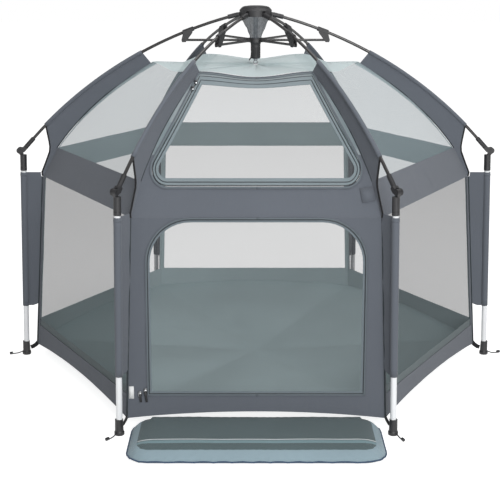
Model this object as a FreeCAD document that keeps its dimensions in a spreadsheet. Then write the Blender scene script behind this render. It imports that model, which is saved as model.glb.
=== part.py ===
import FreeCAD, Part
import math
import os
import re
import Sketcher
from FreeCAD import Placement, Rotation, Vector

# Six-legged pop-up play yard. Z is up, the hub axis is X = Y = 0, the floor is Z = 0 and the
# doorway faces -Y. Every sector is drawn at azimuth 0 (along +X) and turned about Z.

SIZES = [
    ("hub_height", 1025, "height of the arm pivots in the crown"),
    ("arm_pivot_radius", 36, "arm pivots from the hub axis"),
    ("crown_radius", 46, "outside of the crown"),
    ("crown_bore", 29, "hollow of the crown that takes the runner"),
    ("crown_skirt", 8, "crown wall below the arm pivots"),
    ("crown_room", 13, "hollow above the arm pivots"),
    ("crown_plate", 3, "thickness of the crown's top plate"),
    ("cap_rise", 5, "height of the domed cap"),
    ("slot_width", 9, "radial slots for the arm ends"),
    ("post_radius", 6, "centre post"),
    ("post_hook", 12, "lower end of the centre post above the roof"),
    ("hook_radius", 5, "hook ring that ties up the roof"),
    ("hook_wire", 1.5, "radius of the hook ring's wire"),
    ("pin_radius", 2, "hub and runner pins"),
    ("hub_pin_length", 20, "length of the hub pins"),
    ("runner_pin_length", 15, "length of the runner pins"),
    ("knee_pin_radius", 2.5, "knee pins"),
    ("running_gap", 0.06, "radial clearance of a turning pin"),
    ("slide_gap", 0.3, "clearance of sliding and neighbouring pieces"),
    ("clip_drop", 21.78, "strut pivots below the pole's axis with the frame open"),
    ("strut_pivot_radius", 20, "strut pivots from the hub axis"),
    ("runner_radius", 25.5, "outside of the runner's lug ring"),
    ("runner_half", 5.5, "half height of the lug ring"),
    ("runner_slot", 6.8, "slots for the strut ends"),
    ("grip_radius", 14, "ribbed grip of the runner"),
    ("grip_length", 52, "grip below the strut pivots"),
    ("grip_groove", 1.2, "depth of the flutes in the grip"),
    ("spring_wire", 0.7, "radius of the spring's wire"),
    ("spring_radius", 8.2, "mean radius of the opening spring"),
    ("spring_turns", 5, "turns of the opening spring"),
    ("guard_thickness", 0.8, "cloth guard under the crown"),
    ("clip_radius", 205, "strut pivots on the arms, from the hub axis"),
    ("strut_radius", 3.5, "strut rod"),
    ("strut_eye", 4.2, "rounded strut ends"),
    ("strut_blade", 6.2, "thickness of the strut ends"),
    ("pole_radius", 4.25, "fibreglass arm pole"),
    ("pole_slope", 50, "slope of the pole where it enters the knee, degrees"),
    ("pole_offset", 8, "knee pivot to the pole's axis"),
    ("socket_radius", 6.5, "sockets round the pole"),
    ("knee_radius", 690, "knee pivots from the hub axis"),
    ("knee_height", 631, "height of the knee pivots"),
    ("knee_boss", 9, "round ends of the knee fork"),
    ("fork_gap", 8.2, "gap between the fork's ears"),
    ("fork_wall", 3.9, "thickness of an ear"),
    ("tongue_width", 7.6, "thickness of the knee tongue"),
    ("leg_offset", 10, "knee pivot to the leg's axis"),
    ("leg_splay", 1.85, "outward lean of the legs, degrees"),
    ("tube_radius", 8, "leg tube"),
    ("tube_wall", 1.2, "wall of the leg tube"),
    ("knuckle_radius", 9.6, "socket of the lower knee piece"),
    ("knuckle_length", 50, "lower end of the knuckle below the knee"),
    ("boot_radius", 13, "foot boot at the floor"),
    ("boot_height", 42, "height of the foot boot"),
    ("cloth", 2.4, "thickness of the fabric panels"),
    ("cloth_gap", 0.3, "half the gap between neighbouring panels"),
    ("hem_inset", 25, "fabric corner at the hem, in from the knee pivots"),
    ("hem_height", 32, "hem at the corners"),
    ("hem_arch", 18, "rise of the hem at the middle of a side"),
    ("band_foot_inset", 64, "fabric corner at the foot of the band, in from the knees"),
    ("band_foot_drop", 77, "foot of the band below the knee pivots"),
    ("band_top_inset", 110, "fabric corner at the top of the band, in from the knees"),
    ("band_top_rise", 8, "top of the band above the knee pivots"),
    ("roof_radius", 299, "roof corners from the hub axis"),
    ("roof_gap", 17, "roof below the grip"),
    ("dome_bulge", 20, "outward bow of the dome panels"),
    ("roof_tie_radius", 60, "gathered centre of the roof"),
    ("fin_start", 326, "inner end of the sleeve on the pole"),
    ("fin_end_inset", 79, "outer end of the sleeve on the pole, in from the knees"),
    ("notch_inset", 87, "edge of the fabric beside the knee, in from its pivot"),
    ("leg_fin_drop", 65, "top of the leg sleeve below the knee pivots"),
    ("leg_fin_foot", 156, "lower end of the leg sleeve"),
    ("fin_cloth", 2, "thickness of the fins"),
    ("sleeve_wall", 1.5, "thickness of the sleeves"),
    ("door_margin", 45, "fabric beside the doorway at the foot of the band"),
    ("door_sill", 98, "sill of the doorway"),
    ("door_head", 5, "fabric above the doorway"),
    ("door_corner", 95, "round upper corners of the doorway"),
    ("window_margin", 5, "fabric left beside the window"),
    ("window_sill", 73, "fabric between the foot of the band and the window"),
    ("window_head", 9, "fabric above the window"),
    ("window_corner", 40, "round lower corners of the window"),
    ("ground_centre", 12, "floor cloth at the middle of the yard"),
    ("floor_cloth", 3, "thickness of the floor panels"),
    ("mat_inset", 50, "door mat narrower than the knees' radius"),
    ("mat_depth", 215, "door mat from back to front"),
    ("mat_height", 42, "thickness of the door mat"),
    ("mat_gap", 4.1, "from the hem to the door mat"),
    ("mat_corner", 28, "corner radius of the mat"),
    ("lever_length", 24, "release lever"),
    ("lever_width", 7, "width of the release lever"),
]

PLACES = {
    "grip_bottom": "p.runner_height - s.grip_length",
    "post_end": "p.roof_height + s.post_hook",
    "hem_radius": "s.knee_radius - s.hem_inset",
    "band_foot_radius": "s.knee_radius - s.band_foot_inset",
    "band_foot_height": "s.knee_height - s.band_foot_drop",
    "band_top_radius": "s.knee_radius - s.band_top_inset",
    "band_top_height": "s.knee_height + s.band_top_rise",
    "roof_height": "p.grip_bottom - s.roof_gap",
    "fin_end": "s.knee_radius - s.fin_end_inset",
    "knee_notch": "s.knee_radius - s.notch_inset",
    "leg_fin_top": "s.knee_height - s.leg_fin_drop",
    "door_half": "p.band_foot_radius / 2 - s.door_margin",
    "door_top": "p.band_foot_height - s.door_head",
    "window_foot": "p.band_foot_height + s.window_sill",
    "window_top": "p.roof_height - s.window_head",
    "mat_width": "s.knee_radius - s.mat_inset",
    "mat_front": "p.hem_radius * cos(180deg / 6) + s.mat_gap + s.mat_depth",
}

SECTORS = ["right", "back_right", "back_left", "left", "front_left", "front_right"]
PLACE = r"\bp\.(\w+)"
STEP = 360 / len(SECTORS)
SPRING_SIDES = 6
UP = Vector(0, 0, 1)
ACROSS = Vector(0, 1, 0)

doc = FreeCAD.newDocument("play_yard")
sheet = doc.addObject("Spreadsheet::Sheet", "Sizes")
for row, (alias, size, meaning) in enumerate(SIZES, start=1):
    sheet.set(f"A{row}", meaning)
    sheet.set(f"B{row}", str(size))
    sheet.setAlias(f"B{row}", alias)
doc.recompute()


def spelled(formula):
    """A formula in the sheet's terms: s.word is a cell, p.word a place that follows from cells."""
    while re.search(PLACE, formula):
        formula = re.sub(PLACE, lambda found: f"({PLACES[found.group(1)]})", formula)
    return formula.replace("s.", "Sizes.")


def value(formula):
    return float(sheet.evalExpression(spelled(formula)))


def size(name):
    return value(("p." if name in PLACES else "s.") + name)


def bind(obj, **formulas):
    for name, formula in formulas.items():
        obj.setExpression(name, spelled(formula))
    return obj


def primitive(kind, name, place=None, **formulas):
    obj = doc.addObject(f"Part::{kind}", name)
    bind(obj, **formulas)
    if place is not None:
        obj.Placement = place
    return obj


def fuse(name, *shapes):
    obj = doc.addObject("Part::MultiFuse", name)
    obj.Shapes = list(shapes)
    return obj


def cut(name, base, tool):
    obj = doc.addObject("Part::Cut", name)
    obj.Base = base
    obj.Tool = tool
    return obj


def group(name, *links):
    obj = doc.addObject("Part::Compound", name)
    obj.Links = list(links)
    return obj


def turned(name, obj, degrees):
    """A copy of obj turned about the hub axis."""
    copy = group(name, obj)
    copy.Placement = Placement(Vector(), Rotation(UP, degrees))
    return copy


def ring_of(name, obj):
    """The same piece once for every sector."""
    copies = [turned(f"{name}_{i}", obj, i * STEP) for i in range(len(SECTORS))]
    return group(name, *copies)


def feature(name, shape):
    obj = doc.addObject("Part::Feature", name)
    obj.Shape = shape
    return obj


def sketch(body, plane, outline):
    """A closed sketch whose corners are pairs of formulas, measured from the origin."""
    drawn = body.newObject("Sketcher::SketchObject", body.Name + "_sketch")
    support = [f for f in body.Origin.OriginFeatures if f.Role == plane][0]
    drawn.AttachmentSupport = [(support, "")]
    drawn.MapMode = "FlatFace"
    corners = [Vector(value(x), value(y), 0) for x, y in outline]
    count = len(corners)
    for i in range(count):
        drawn.addGeometry(Part.LineSegment(corners[i], corners[(i + 1) % count]))
    for i in range(count):
        drawn.addConstraint(Sketcher.Constraint("Coincident", i, 2, (i + 1) % count, 1))
    for i, (x, y) in enumerate(outline):
        for kind, formula, on_axis in (("DistanceX", x, -2), ("DistanceY", y, -1)):
            distance = value(formula)
            if abs(distance) < 1e-9:
                drawn.addConstraint(Sketcher.Constraint("PointOnObject", i, 1, on_axis))
                continue
            number = drawn.addConstraint(Sketcher.Constraint(kind, -1, 1, i, 1, distance))
            drawn.setExpression(f".Constraints[{number}]", spelled(formula))
    return drawn


def turned_body(name, outline):
    """A PartDesign body made by turning an outline of (radius, height) about the Z axis."""
    body = doc.addObject("PartDesign::Body", name)
    profile = sketch(body, "XZ_Plane", outline)
    revolution = body.newObject("PartDesign::Revolution", name + "_turn")
    revolution.Profile = profile
    revolution.ReferenceAxis = (profile, ["V_Axis"])
    revolution.Angle = 360
    body.Tip = revolution
    return body


def padded_body(name, plane, outline, thickness):
    """A PartDesign body padded evenly to both sides of its sketch."""
    body = doc.addObject("PartDesign::Body", name)
    profile = sketch(body, plane, outline)
    pad = body.newObject("PartDesign::Pad", name + "_pad")
    pad.Profile = profile
    pad.SideType = "Symmetric"
    bind(pad, Length=thickness)
    body.Tip = pad
    return body


def at(radius, height, side=0.0):
    return Vector(radius, side, height)


def across(radius, height, length):
    """Placement of a cylinder that lies across its sector, centred on the radial plane."""
    return Placement(at(radius, height, -length / 2), Rotation(Vector(1, 0, 0), -90))


def cross_pin(name, radius, height, pin_radius, length):
    place = across(value(radius), value(height), value(length))
    return primitive("Cylinder", name, place, Radius=pin_radius, Height=length)


# ---------------------------------------------------------------- pole geometry
# The pole is an arc that starts at the arm pivot and slopes pole_slope degrees at the knee.

slope_end = math.radians(size("pole_slope"))
pivot = at(size("arm_pivot_radius"), size("hub_height"))
knee = at(size("knee_radius"), size("knee_height"))
pole_end = knee - at(math.sin(slope_end), math.cos(slope_end)) * size("pole_offset")
chord = pole_end - pivot
chord_slope = math.atan2(-chord.z, chord.x)
pole_arc = chord.Length / (2 * math.sin(slope_end - chord_slope))
slope_start = 2 * chord_slope - slope_end
pole_centre = pivot - at(math.sin(slope_start), math.cos(slope_start)) * pole_arc


def on_pole(slope, lift=0.0):
    """Point on the pole where it slopes by slope radians, lifted off its axis."""
    return pole_centre + at(math.sin(slope), math.cos(slope)) * (pole_arc + lift)


def pole_slope_at(radius):
    return math.asin((radius - pole_centre.x) / pole_arc)


# Open, the struts lie level from the runner to the clips under the poles.
PLACES["runner_height"] = str(on_pole(pole_slope_at(size("clip_radius"))).z - size("clip_drop"))


def along_pole(slope, lift=0.0):
    """Placement with Z running outward along the pole."""
    return Placement(on_pole(slope, lift), Rotation(UP, at(math.cos(slope), -math.sin(slope))))


def pole_rod(name, rod_radius, slope_from, slope_to):
    """An arc of round rod that follows the pole."""
    rod = primitive("Torus", name, None, Radius2=rod_radius)
    rod.Radius1 = pole_arc
    rod.Angle3 = math.degrees(slope_to - slope_from)
    lay_flat = Rotation(Vector(1, 0, 0), 90)
    swing = Rotation(ACROSS, math.degrees(slope_to) - 90)
    rod.Placement = Placement(pole_centre, swing.multiply(lay_flat))
    return rod


ROOT_NECK = 14
ROOT_SOCKET = 44
POLE_STOP = 16
FORK_START = 12
FORK_SOCKET = 42
CLIP_LENGTH = 32
TUBE_STOP = 16
KNUCKLE_SHOULDER = 13
TONGUE_ROOT = 34
BOOT_SOLE = 8
pole_from = slope_start + (ROOT_NECK + 6) / pole_arc
pole_to = slope_end - POLE_STOP / pole_arc

# ---------------------------------------------------------------- leg geometry

splay = math.radians(size("leg_splay"))
leg_top = knee - at(size("leg_offset"), 0)
LEG_TURN = Rotation(ACROSS, -size("leg_splay"))


def on_leg(height, offset=0.0):
    """Point on the leg's axis at a height above the floor."""
    drop = leg_top.z - height
    return at(leg_top.x + drop * math.tan(splay) + offset, height)


def leg_cylinder(name, radius, height_from, height_to):
    """A cylinder on the leg's axis between two heights."""
    low = on_leg(height_from)
    rod = primitive("Cylinder", name, Placement(low, LEG_TURN), Radius=radius)
    rod.Height = (on_leg(height_to) - low).Length
    return rod


# ---------------------------------------------------------------- hub

def make_crown():
    top = "s.hub_height + s.crown_room"
    shell = turned_body("crown_shell", [
        ("s.post_radius", top),
        ("s.crown_bore", top),
        ("s.crown_bore", "s.hub_height - s.crown_skirt"),
        ("s.crown_radius", "s.hub_height - s.crown_skirt"),
        ("s.crown_radius", "s.hub_height + s.crown_room - 4"),
        ("s.crown_radius - 6", top + " + s.crown_plate"),
        ("s.post_radius", top + " + s.crown_plate"),
    ])
    slot = primitive("Box", "crown_slot", None, Length="s.crown_radius - s.crown_bore + 8",
                     Width="s.slot_width", Height="s.crown_skirt + 8")
    slot.Placement = Placement(Vector(size("crown_bore") - 4, -size("slot_width") / 2,
                                      size("hub_height") - size("crown_skirt") - 1), Rotation())
    pins = ring_of("crown_pin_holes", cross_pin("crown_pin_hole", "s.arm_pivot_radius",
                                                "s.hub_height", "s.pin_radius", "s.hub_pin_length"))
    slots = ring_of("crown_slots", slot)
    return cut("crown", cut("crown_slotted", shell, slots), pins)


def make_cap():
    """A shallow dome that snaps onto the crown's top plate."""
    foot = "s.hub_height + s.crown_room + s.crown_plate"
    top = foot + " + s.cap_rise"
    return turned_body("hub_cap_body", [
        ("0", foot),
        ("s.crown_radius - 8", foot),
        ("s.crown_radius - 8", foot + " + 1.5"),
        ("s.crown_radius - 14", top + " - 1.4"),
        ("s.crown_radius - 24", top),
        ("0", top),
    ])


def make_post():
    rod = turned_body("post_rod", [
        ("0", "p.post_end"),
        ("s.post_radius - 1.5", "p.post_end"),
        ("s.post_radius", "p.post_end + 1.5"),
        ("s.post_radius", "s.hub_height + s.crown_room + s.crown_plate"),
        ("0", "s.hub_height + s.crown_room + s.crown_plate"),
    ])
    hook = primitive("Torus", "post_hook", None, Radius1="s.hook_radius", Radius2="s.hook_wire")
    centre = size("post_end") - size("hook_radius")
    hook.Placement = Placement(at(0, centre), Rotation(Vector(1, 0, 0), 90))
    return fuse("centre_post", rod, hook)


def make_hub_pins():
    pin = cross_pin("hub_pin", "s.arm_pivot_radius", "s.hub_height", "s.pin_radius",
                    "s.hub_pin_length")
    return ring_of("hub_pins", pin)


def make_spring():
    """Compression spring between the runner and the crown, round the post."""
    foot = size("runner_height") + size("runner_half") + size("spring_wire") + size("slide_gap")
    head = size("hub_height") + size("crown_room") - size("spring_wire") - size("slide_gap")
    radius = size("spring_radius")
    pitch = (head - foot) / size("spring_turns")
    climb = math.degrees(math.atan2(pitch, 2 * math.pi * radius))
    path = primitive("Helix", "spring_path", Placement(at(0, foot), Rotation()), Radius="s.spring_radius")
    path.Pitch = pitch
    path.Height = head - foot
    facing = Placement(at(radius, foot), Rotation(Vector(1, 0, 0), 90 + climb))
    wire = primitive("RegularPolygon", "spring_section", facing, Circumradius="s.spring_wire")
    wire.Polygon = SPRING_SIDES
    spring = doc.addObject("Part::Sweep", "opening_spring")
    spring.Sections = [wire]
    spring.Spine = (path, [])
    spring.Solid = True
    spring.Frenet = True
    return spring


def make_guard():
    """Cloth funnel that hides the spring, from the crown down to the runner."""
    gap = "s.slide_gap"
    return turned_body("guard_cone_body", [
        ("s.grip_radius + 2", "p.runner_height + s.runner_half + " + gap),
        ("s.grip_radius + 2 + s.guard_thickness", "p.runner_height + s.runner_half + " + gap),
        ("s.crown_radius - 2", "s.hub_height - s.crown_skirt - " + gap),
        ("s.crown_radius - 2 - s.guard_thickness", "s.hub_height - s.crown_skirt - " + gap),
    ])


def make_roof_tie():
    """Six-sided gathered middle of the roof, hung on the post's hook."""
    thick = size("cloth")
    reach = size("roof_tie_radius") - size("cloth_gap")
    corners = [Vector(reach * math.cos(math.radians(i * STEP)),
                      reach * math.sin(math.radians(i * STEP)), 0) for i in range(len(SECTORS))]
    hook_foot = size("post_end") - 2 * size("hook_radius") - size("hook_wire") - size("slide_gap")
    plate = Part.Face(Part.makePolygon(corners + corners[:1])).extrude(UP * -thick)
    tie = feature("roof_centre", plate)
    tie.Placement = Placement(Vector(0, 0, hook_foot), Rotation())
    return tie


# ---------------------------------------------------------------- runner

def make_runner():
    low = "p.runner_height - s.runner_half"
    high = "p.runner_height + s.runner_half"
    bore = "s.post_radius + s.slide_gap"
    core = turned_body("runner_core", [
        (bore, "p.grip_bottom"),
        ("s.grip_radius - 2", "p.grip_bottom"),
        ("s.grip_radius", "p.grip_bottom + 3"),
        ("s.grip_radius", low + " - 8"),
        ("s.grip_radius + 2", low),
        ("s.runner_radius", low),
        ("s.runner_radius", high),
        (bore, high),
    ])
    slot = primitive("Box", "runner_slot_tool", None, Length="s.runner_radius",
                     Width="s.runner_slot", Height="2 * s.runner_half + 30")
    slot.Placement = Placement(Vector(size("grip_radius"), -size("runner_slot") / 2,
                                      size("runner_height") - size("runner_half") - 12), Rotation())
    flute = primitive("Cylinder", "grip_flute", None, Radius="s.grip_groove",
                      Height="p.runner_height - p.grip_bottom - 26")
    flutes = []
    for i in range(18):
        turn = Rotation(UP, 10 + i * 20)
        place = Placement(turn.multVec(at(size("grip_radius"), size("grip_bottom") + 6)), turn)
        copy = group(f"grip_flute_{i}", flute)
        copy.Placement = place
        flutes.append(copy)
    holes = ring_of("runner_pin_holes", cross_pin("runner_pin_hole", "s.strut_pivot_radius",
                                                  "p.runner_height", "s.pin_radius", "s.runner_pin_length"))
    slotted = cut("runner_slotted", core, ring_of("runner_slots", slot))
    fluted = cut("runner_fluted", slotted, group("grip_flutes", *flutes))
    lever_seat = primitive("Box", "lever_seat", None, Length="8", Width="s.lever_width + 1",
                           Height="s.lever_length + 2")
    lever_seat.Placement = Placement(Vector(-size("grip_radius") - 4, -(size("lever_width") + 1) / 2,
                                            size("grip_bottom") - 4), Rotation())
    moulding = cut("runner_drilled", cut("runner_seated", fluted, lever_seat), holes)
    pins = ring_of("runner_pins", cross_pin("runner_pin", "s.strut_pivot_radius",
                                            "p.runner_height", "s.pin_radius", "s.runner_pin_length"))
    return group("runner_and_pins", moulding, pins)


def make_lever():
    """Thumb lever at the foot of the grip that frees the runner from the open lock."""
    outer = "-(s.grip_radius - 4 + s.slide_gap)"
    body = padded_body("lever_blade", "XZ_Plane", [
        (outer, "p.grip_bottom + s.lever_length - 3"),
        (outer + " - 3", "p.grip_bottom + s.lever_length - 3"),
        (outer + " - 4.5", "p.grip_bottom + 4"),
        (outer + " - 9", "p.grip_bottom - 5"),
        (outer + " - 6.5", "p.grip_bottom - 6"),
        (outer, "p.grip_bottom + 3"),
    ], "s.lever_width")
    return body


# ---------------------------------------------------------------- one sector of the frame

def make_strut():
    eyes = []
    for name, radius in (("inner", "s.strut_pivot_radius"), ("outer", "s.clip_radius")):
        eye = cross_pin(f"strut_eye_{name}", radius, "p.runner_height", "s.strut_eye", "s.strut_blade")
        eyes.append(eye)
    length = "s.clip_radius - s.strut_pivot_radius"
    flat = Rotation(UP, Vector(1, 0, 0))
    start = at(size("strut_pivot_radius"), size("runner_height"))
    rod = primitive("Cylinder", "strut_rod", Placement(start, flat), Radius="s.strut_radius", Height=length)
    blank = fuse("strut_blank", rod, *eyes)
    for name, radius in (("root", "s.strut_pivot_radius"), ("tip", "s.clip_radius")):
        side = "s.strut_radius * 2 + 2"
        trim = primitive("Box", f"strut_trim_{name}", None, Length="16", Width="4", Height=side)
        shift = -4 if name == "root" else -12
        low = size("runner_height") - size("strut_radius") - 1
        upper = Vector(value(radius) + shift, size("strut_blade") / 2, low)
        lower = Vector(value(radius) + shift, -size("strut_blade") / 2 - 4, low)
        trim.Placement = Placement(upper, Rotation())
        other = group(f"strut_trim_{name}_low", trim)
        other.Placement = Placement(lower - upper, Rotation())
        blank = cut(f"strut_flat_{name}", blank, group(f"strut_trims_{name}", trim, other))
    holes = []
    for name, radius in (("root", "s.strut_pivot_radius"), ("tip", "s.clip_radius")):
        holes.append(cross_pin(f"strut_hole_{name}", radius, "p.runner_height",
                               "s.pin_radius + s.running_gap", "s.strut_blade + 2"))
    return cut("strut", blank, group("strut_holes", *holes))


def make_arm_root():
    """Eye in the crown's slot with the socket that takes the pole."""
    eye = cross_pin("root_eye", "s.arm_pivot_radius", "s.hub_height", "s.socket_radius - 0.5",
                    "s.slot_width - 0.8")
    neck = primitive("Box", "root_neck", None, Length=str(ROOT_NECK + 2), Width="s.slot_width - 0.8",
                     Height="2 * s.socket_radius - 2")
    outward = Rotation(ACROSS, math.degrees(slope_start))
    corner = outward.multVec(at(0, -size("socket_radius") + 1, -size("slot_width") / 2 + 0.4))
    neck.Placement = Placement(pivot + corner, outward)
    socket = primitive("Cylinder", "root_socket", along_pole(slope_start + ROOT_NECK / pole_arc),
                       Radius="s.socket_radius", Height=str(ROOT_SOCKET - ROOT_NECK))
    hole = cross_pin("root_hole", "s.arm_pivot_radius", "s.hub_height",
                     "s.pin_radius + s.running_gap", "s.slot_width")
    bore = pole_rod("root_bore", "s.pole_radius", pole_from, pole_to)
    solid = fuse("root_solid", eye, neck, socket)
    return cut("arm_root", solid, group("root_tools", hole, bore))


def make_clip():
    """Sleeve on the pole with two ears that straddle the strut's end."""
    slope = pole_slope_at(size("clip_radius") - 13)
    sleeve = primitive("Cylinder", "clip_sleeve", along_pole(slope - CLIP_LENGTH / 2 / pole_arc),
                       Radius="s.socket_radius", Height=str(CLIP_LENGTH))
    low = "p.runner_height"
    ear_block = padded_body("clip_ears", "XZ_Plane", [
        ("s.clip_radius - 5", low + " - 6"),
        ("s.clip_radius + 5", low + " - 6"),
        ("s.clip_radius + 7", low),
        ("s.clip_radius + 1", low + " + s.clip_drop + 1.22"),
        ("s.clip_radius - 26", low + " + s.clip_drop + 8.22"),
        ("s.clip_radius - 24", low + " + s.clip_drop - 2.78"),
    ], "s.strut_blade + 2 * s.fork_wall - 0.2")
    gap = primitive("Box", "clip_gap", None, Length="80", Width="s.strut_blade + 1.6", Height="60")
    gap_turn = Rotation(ACROSS, math.degrees(slope))
    gap_corner = gap_turn.multVec(at(-40, -60 - size("socket_radius"), -(size("strut_blade") + 1.6) / 2))
    gap.Placement = Placement(on_pole(slope) + gap_corner, gap_turn)
    ears = cut("clip_ears_open", ear_block, gap)
    bore = pole_rod("clip_bore", "s.pole_radius", pole_from, pole_to)
    return cut("arm_clip", fuse("clip_solid", sleeve, ears), bore)


def make_fork():
    """Upper knee piece: socket on the pole's end and a fork round the knee tongue."""
    socket = primitive("Cylinder", "fork_socket", along_pole(slope_end - (FORK_START + FORK_SOCKET) / pole_arc),
                       Radius="s.socket_radius", Height=str(FORK_SOCKET))
    boss = cross_pin("fork_boss", "s.knee_radius", "s.knee_height", "s.knee_boss",
                     "s.fork_gap + 2 * s.fork_wall")
    out = at(math.sin(slope_end), math.cos(slope_end))
    back = at(-math.cos(slope_end), math.sin(slope_end))
    rim = size("knee_boss") * 0.9
    far = size("pole_offset") + size("socket_radius") - 1
    web_corners = [
        knee + out * rim - back * 2,
        knee + out * rim + back * 2,
        knee - out * 0.5 + back * 11.5,
        knee - out * 2.5 + back * 20,
        knee - out * far + back * 20,
        knee - out * far + back * 6,
        knee - out * rim - back * 2,
    ]
    half = size("fork_gap") / 2 + size("fork_wall")
    face = Part.Face(Part.makePolygon(web_corners + web_corners[:1]))
    face.translate(ACROSS * -half)
    web = feature("fork_web", face.extrude(ACROSS * 2 * half))
    gap = primitive("Cylinder", "fork_gap_tool", across(knee.x, knee.z, size("fork_gap")),
                    Radius="s.knee_boss + 4", Height="s.fork_gap")
    hole = cross_pin("fork_hole", "s.knee_radius", "s.knee_height", "s.knee_pin_radius",
                     "s.fork_gap + 2 * s.fork_wall + 2")
    bore = pole_rod("fork_bore", "s.pole_radius", pole_from, pole_to)
    solid = fuse("fork_solid", socket, boss, web)
    return cut("arm_fork", solid, group("fork_tools", gap, hole, bore))


def make_knee_pin():
    shank = cross_pin("knee_shank", "s.knee_radius", "s.knee_height", "s.knee_pin_radius",
                      "s.fork_gap + 2 * s.fork_wall")
    half = value("s.fork_gap / 2 + s.fork_wall")
    heads = []
    for side in (-1, 1):
        start = at(knee.x, knee.z, half if side > 0 else -half - 1.6)
        heads.append(primitive("Cylinder", f"knee_head_{side + 1}",
                               Placement(start, Rotation(Vector(1, 0, 0), -90)),
                               Radius="s.knee_pin_radius + 2", Height="1.6"))
    return fuse("knee_pin", shank, *heads)


def make_leg_tube():
    top = knee.z - TUBE_STOP
    outer = leg_cylinder("tube_outer", "s.tube_radius", BOOT_SOLE, top)
    inner = leg_cylinder("tube_inner", "s.tube_radius - s.tube_wall", BOOT_SOLE, top)
    return cut("leg_tube", outer, inner)


def make_knuckle():
    """Lower knee piece: socket on the tube and the tongue that turns in the fork."""
    foot = knee.z - size("knuckle_length")
    socket = leg_cylinder("knuckle_socket", "s.knuckle_radius", foot, knee.z - KNUCKLE_SHOULDER)
    boss = cross_pin("tongue_boss", "s.knee_radius", "s.knee_height", "s.knee_boss - 0.6", "s.tongue_width")
    reach = size("knee_boss") - 0.6
    corners = [
        knee + at(-reach, 0),
        knee + at(reach * 0.98, -reach * 0.2),
        knee + at(reach * 0.72, -reach * 0.7),
        on_leg(knee.z - 14, size("knuckle_radius") - 0.5),
        on_leg(knee.z - TONGUE_ROOT, size("knuckle_radius") - 0.5),
        on_leg(knee.z - TONGUE_ROOT, 0),
        on_leg(knee.z - KNUCKLE_SHOULDER, 0),
    ]
    half = size("tongue_width") / 2
    face = Part.Face(Part.makePolygon(corners + corners[:1]))
    face.translate(ACROSS * -half)
    web = feature("tongue_web", face.extrude(ACROSS * 2 * half))
    hole = cross_pin("tongue_hole", "s.knee_radius", "s.knee_height",
                     "s.knee_pin_radius + s.running_gap", "s.tongue_width + 2")
    bore = leg_cylinder("knuckle_bore", "s.tube_radius", foot, knee.z - TUBE_STOP)
    solid = fuse("knuckle_solid", socket, boss, web)
    return cut("knuckle", solid, group("knuckle_tools", hole, bore))


def make_boot():
    foot = on_leg(0)
    boot = turned_body("boot_shell", [
        ("0", "0"),
        ("s.boot_radius - 1.5", "0"),
        ("s.boot_radius", "1.5"),
        ("s.boot_radius", "8"),
        ("s.boot_radius - 2", "12"),
        ("s.boot_radius - 2.6", "s.boot_height"),
        ("0", "s.boot_height"),
    ])
    boot.Placement = Placement(Vector(foot.x, 0, 0), Rotation())
    bore = leg_cylinder("boot_bore", "s.tube_radius", BOOT_SOLE, size("leg_fin_foot"))
    return cut("boot", boot, bore)


# ---------------------------------------------------------------- fabric shell
# A side's outer surface is a straight section pushed across the side. Its distances are measured
# from the hub axis to the middle of the side, which is cos(30) of the corner radius.

FACE = math.cos(math.radians(STEP / 2))


def corner(radius, height):
    return size(radius), size(height)


HEM = (size("hem_radius"), size("hem_height"))
BAND_FOOT = corner("band_foot_radius", "band_foot_height")
BAND_TOP = corner("band_top_radius", "band_top_height")
ROOF = corner("roof_radius", "roof_height")
wall_lean = (HEM[0] - BAND_FOOT[0]) / (BAND_FOOT[1] - HEM[1])


def wall_radius(height):
    """Corner radius of the wall at a height."""
    return BAND_FOOT[0] + (BAND_FOOT[1] - height) * wall_lean


def dome_arc(squeeze, inset):
    """Bowed dome line from the band to the roof as an arc."""
    low = Vector(BAND_TOP[0] * squeeze, 0, BAND_TOP[1])
    high = Vector(ROOF[0] * squeeze, 0, ROOF[1])
    along = high - low
    normal = Vector(along.z, 0, -along.x).normalize()
    middle = (low + high) * 0.5 + normal * size("dome_bulge")
    shift = normal * -inset
    return Part.Arc(low + shift, middle + shift, high + shift), low + shift, high + shift


def slab(low, high):
    """Section of a flat panel between two outer points, cloth thick towards the inside."""
    along = high - low
    inward = Vector(-along.z, 0, along.x).normalize() * size("cloth")
    corners = [low, high, high + inward, low + inward]
    return Part.Face(Part.makePolygon(corners + corners[:1]))


def pushed(face, half_width):
    face = face.copy()
    face.translate(ACROSS * -half_width)
    return face.extrude(ACROSS * 2 * half_width)


def side_point(point):
    radius, height = point
    return Vector(radius * FACE, 0, height)


def side_panels():
    """Wall, band with dome, and roof of one whole side whose middle lies along +X."""
    reach = HEM[0]
    hem_low = (wall_radius(0), 0)
    wall_top = (wall_radius(BAND_FOOT[1] - 2 * size("cloth_gap")), BAND_FOOT[1] - 2 * size("cloth_gap"))
    wall = pushed(slab(side_point(hem_low), side_point(wall_top)), reach)
    band = pushed(slab(side_point(BAND_FOOT), side_point(BAND_TOP)), reach)
    outer, outer_low, outer_high = dome_arc(FACE, 0)
    inner, inner_low, inner_high = dome_arc(FACE, size("cloth"))
    edges = [outer.toShape(), Part.makeLine(outer_high, inner_high), inner.toShape(),
             Part.makeLine(inner_low, outer_low)]
    dome = pushed(Part.Face(Part.Wire(Part.__sortEdges__(edges))), reach)
    tie = size("roof_tie_radius") + size("cloth_gap")
    roof_in = Vector(tie * FACE, 0, ROOF[1])
    roof = pushed(slab(side_point(ROOF), roof_in), reach)
    below = Part.makeBox(reach, 2 * reach, BAND_FOOT[1], Vector(0, -reach, 0))
    return wall, band.fuse([dome, roof]).cut(below)


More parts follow.
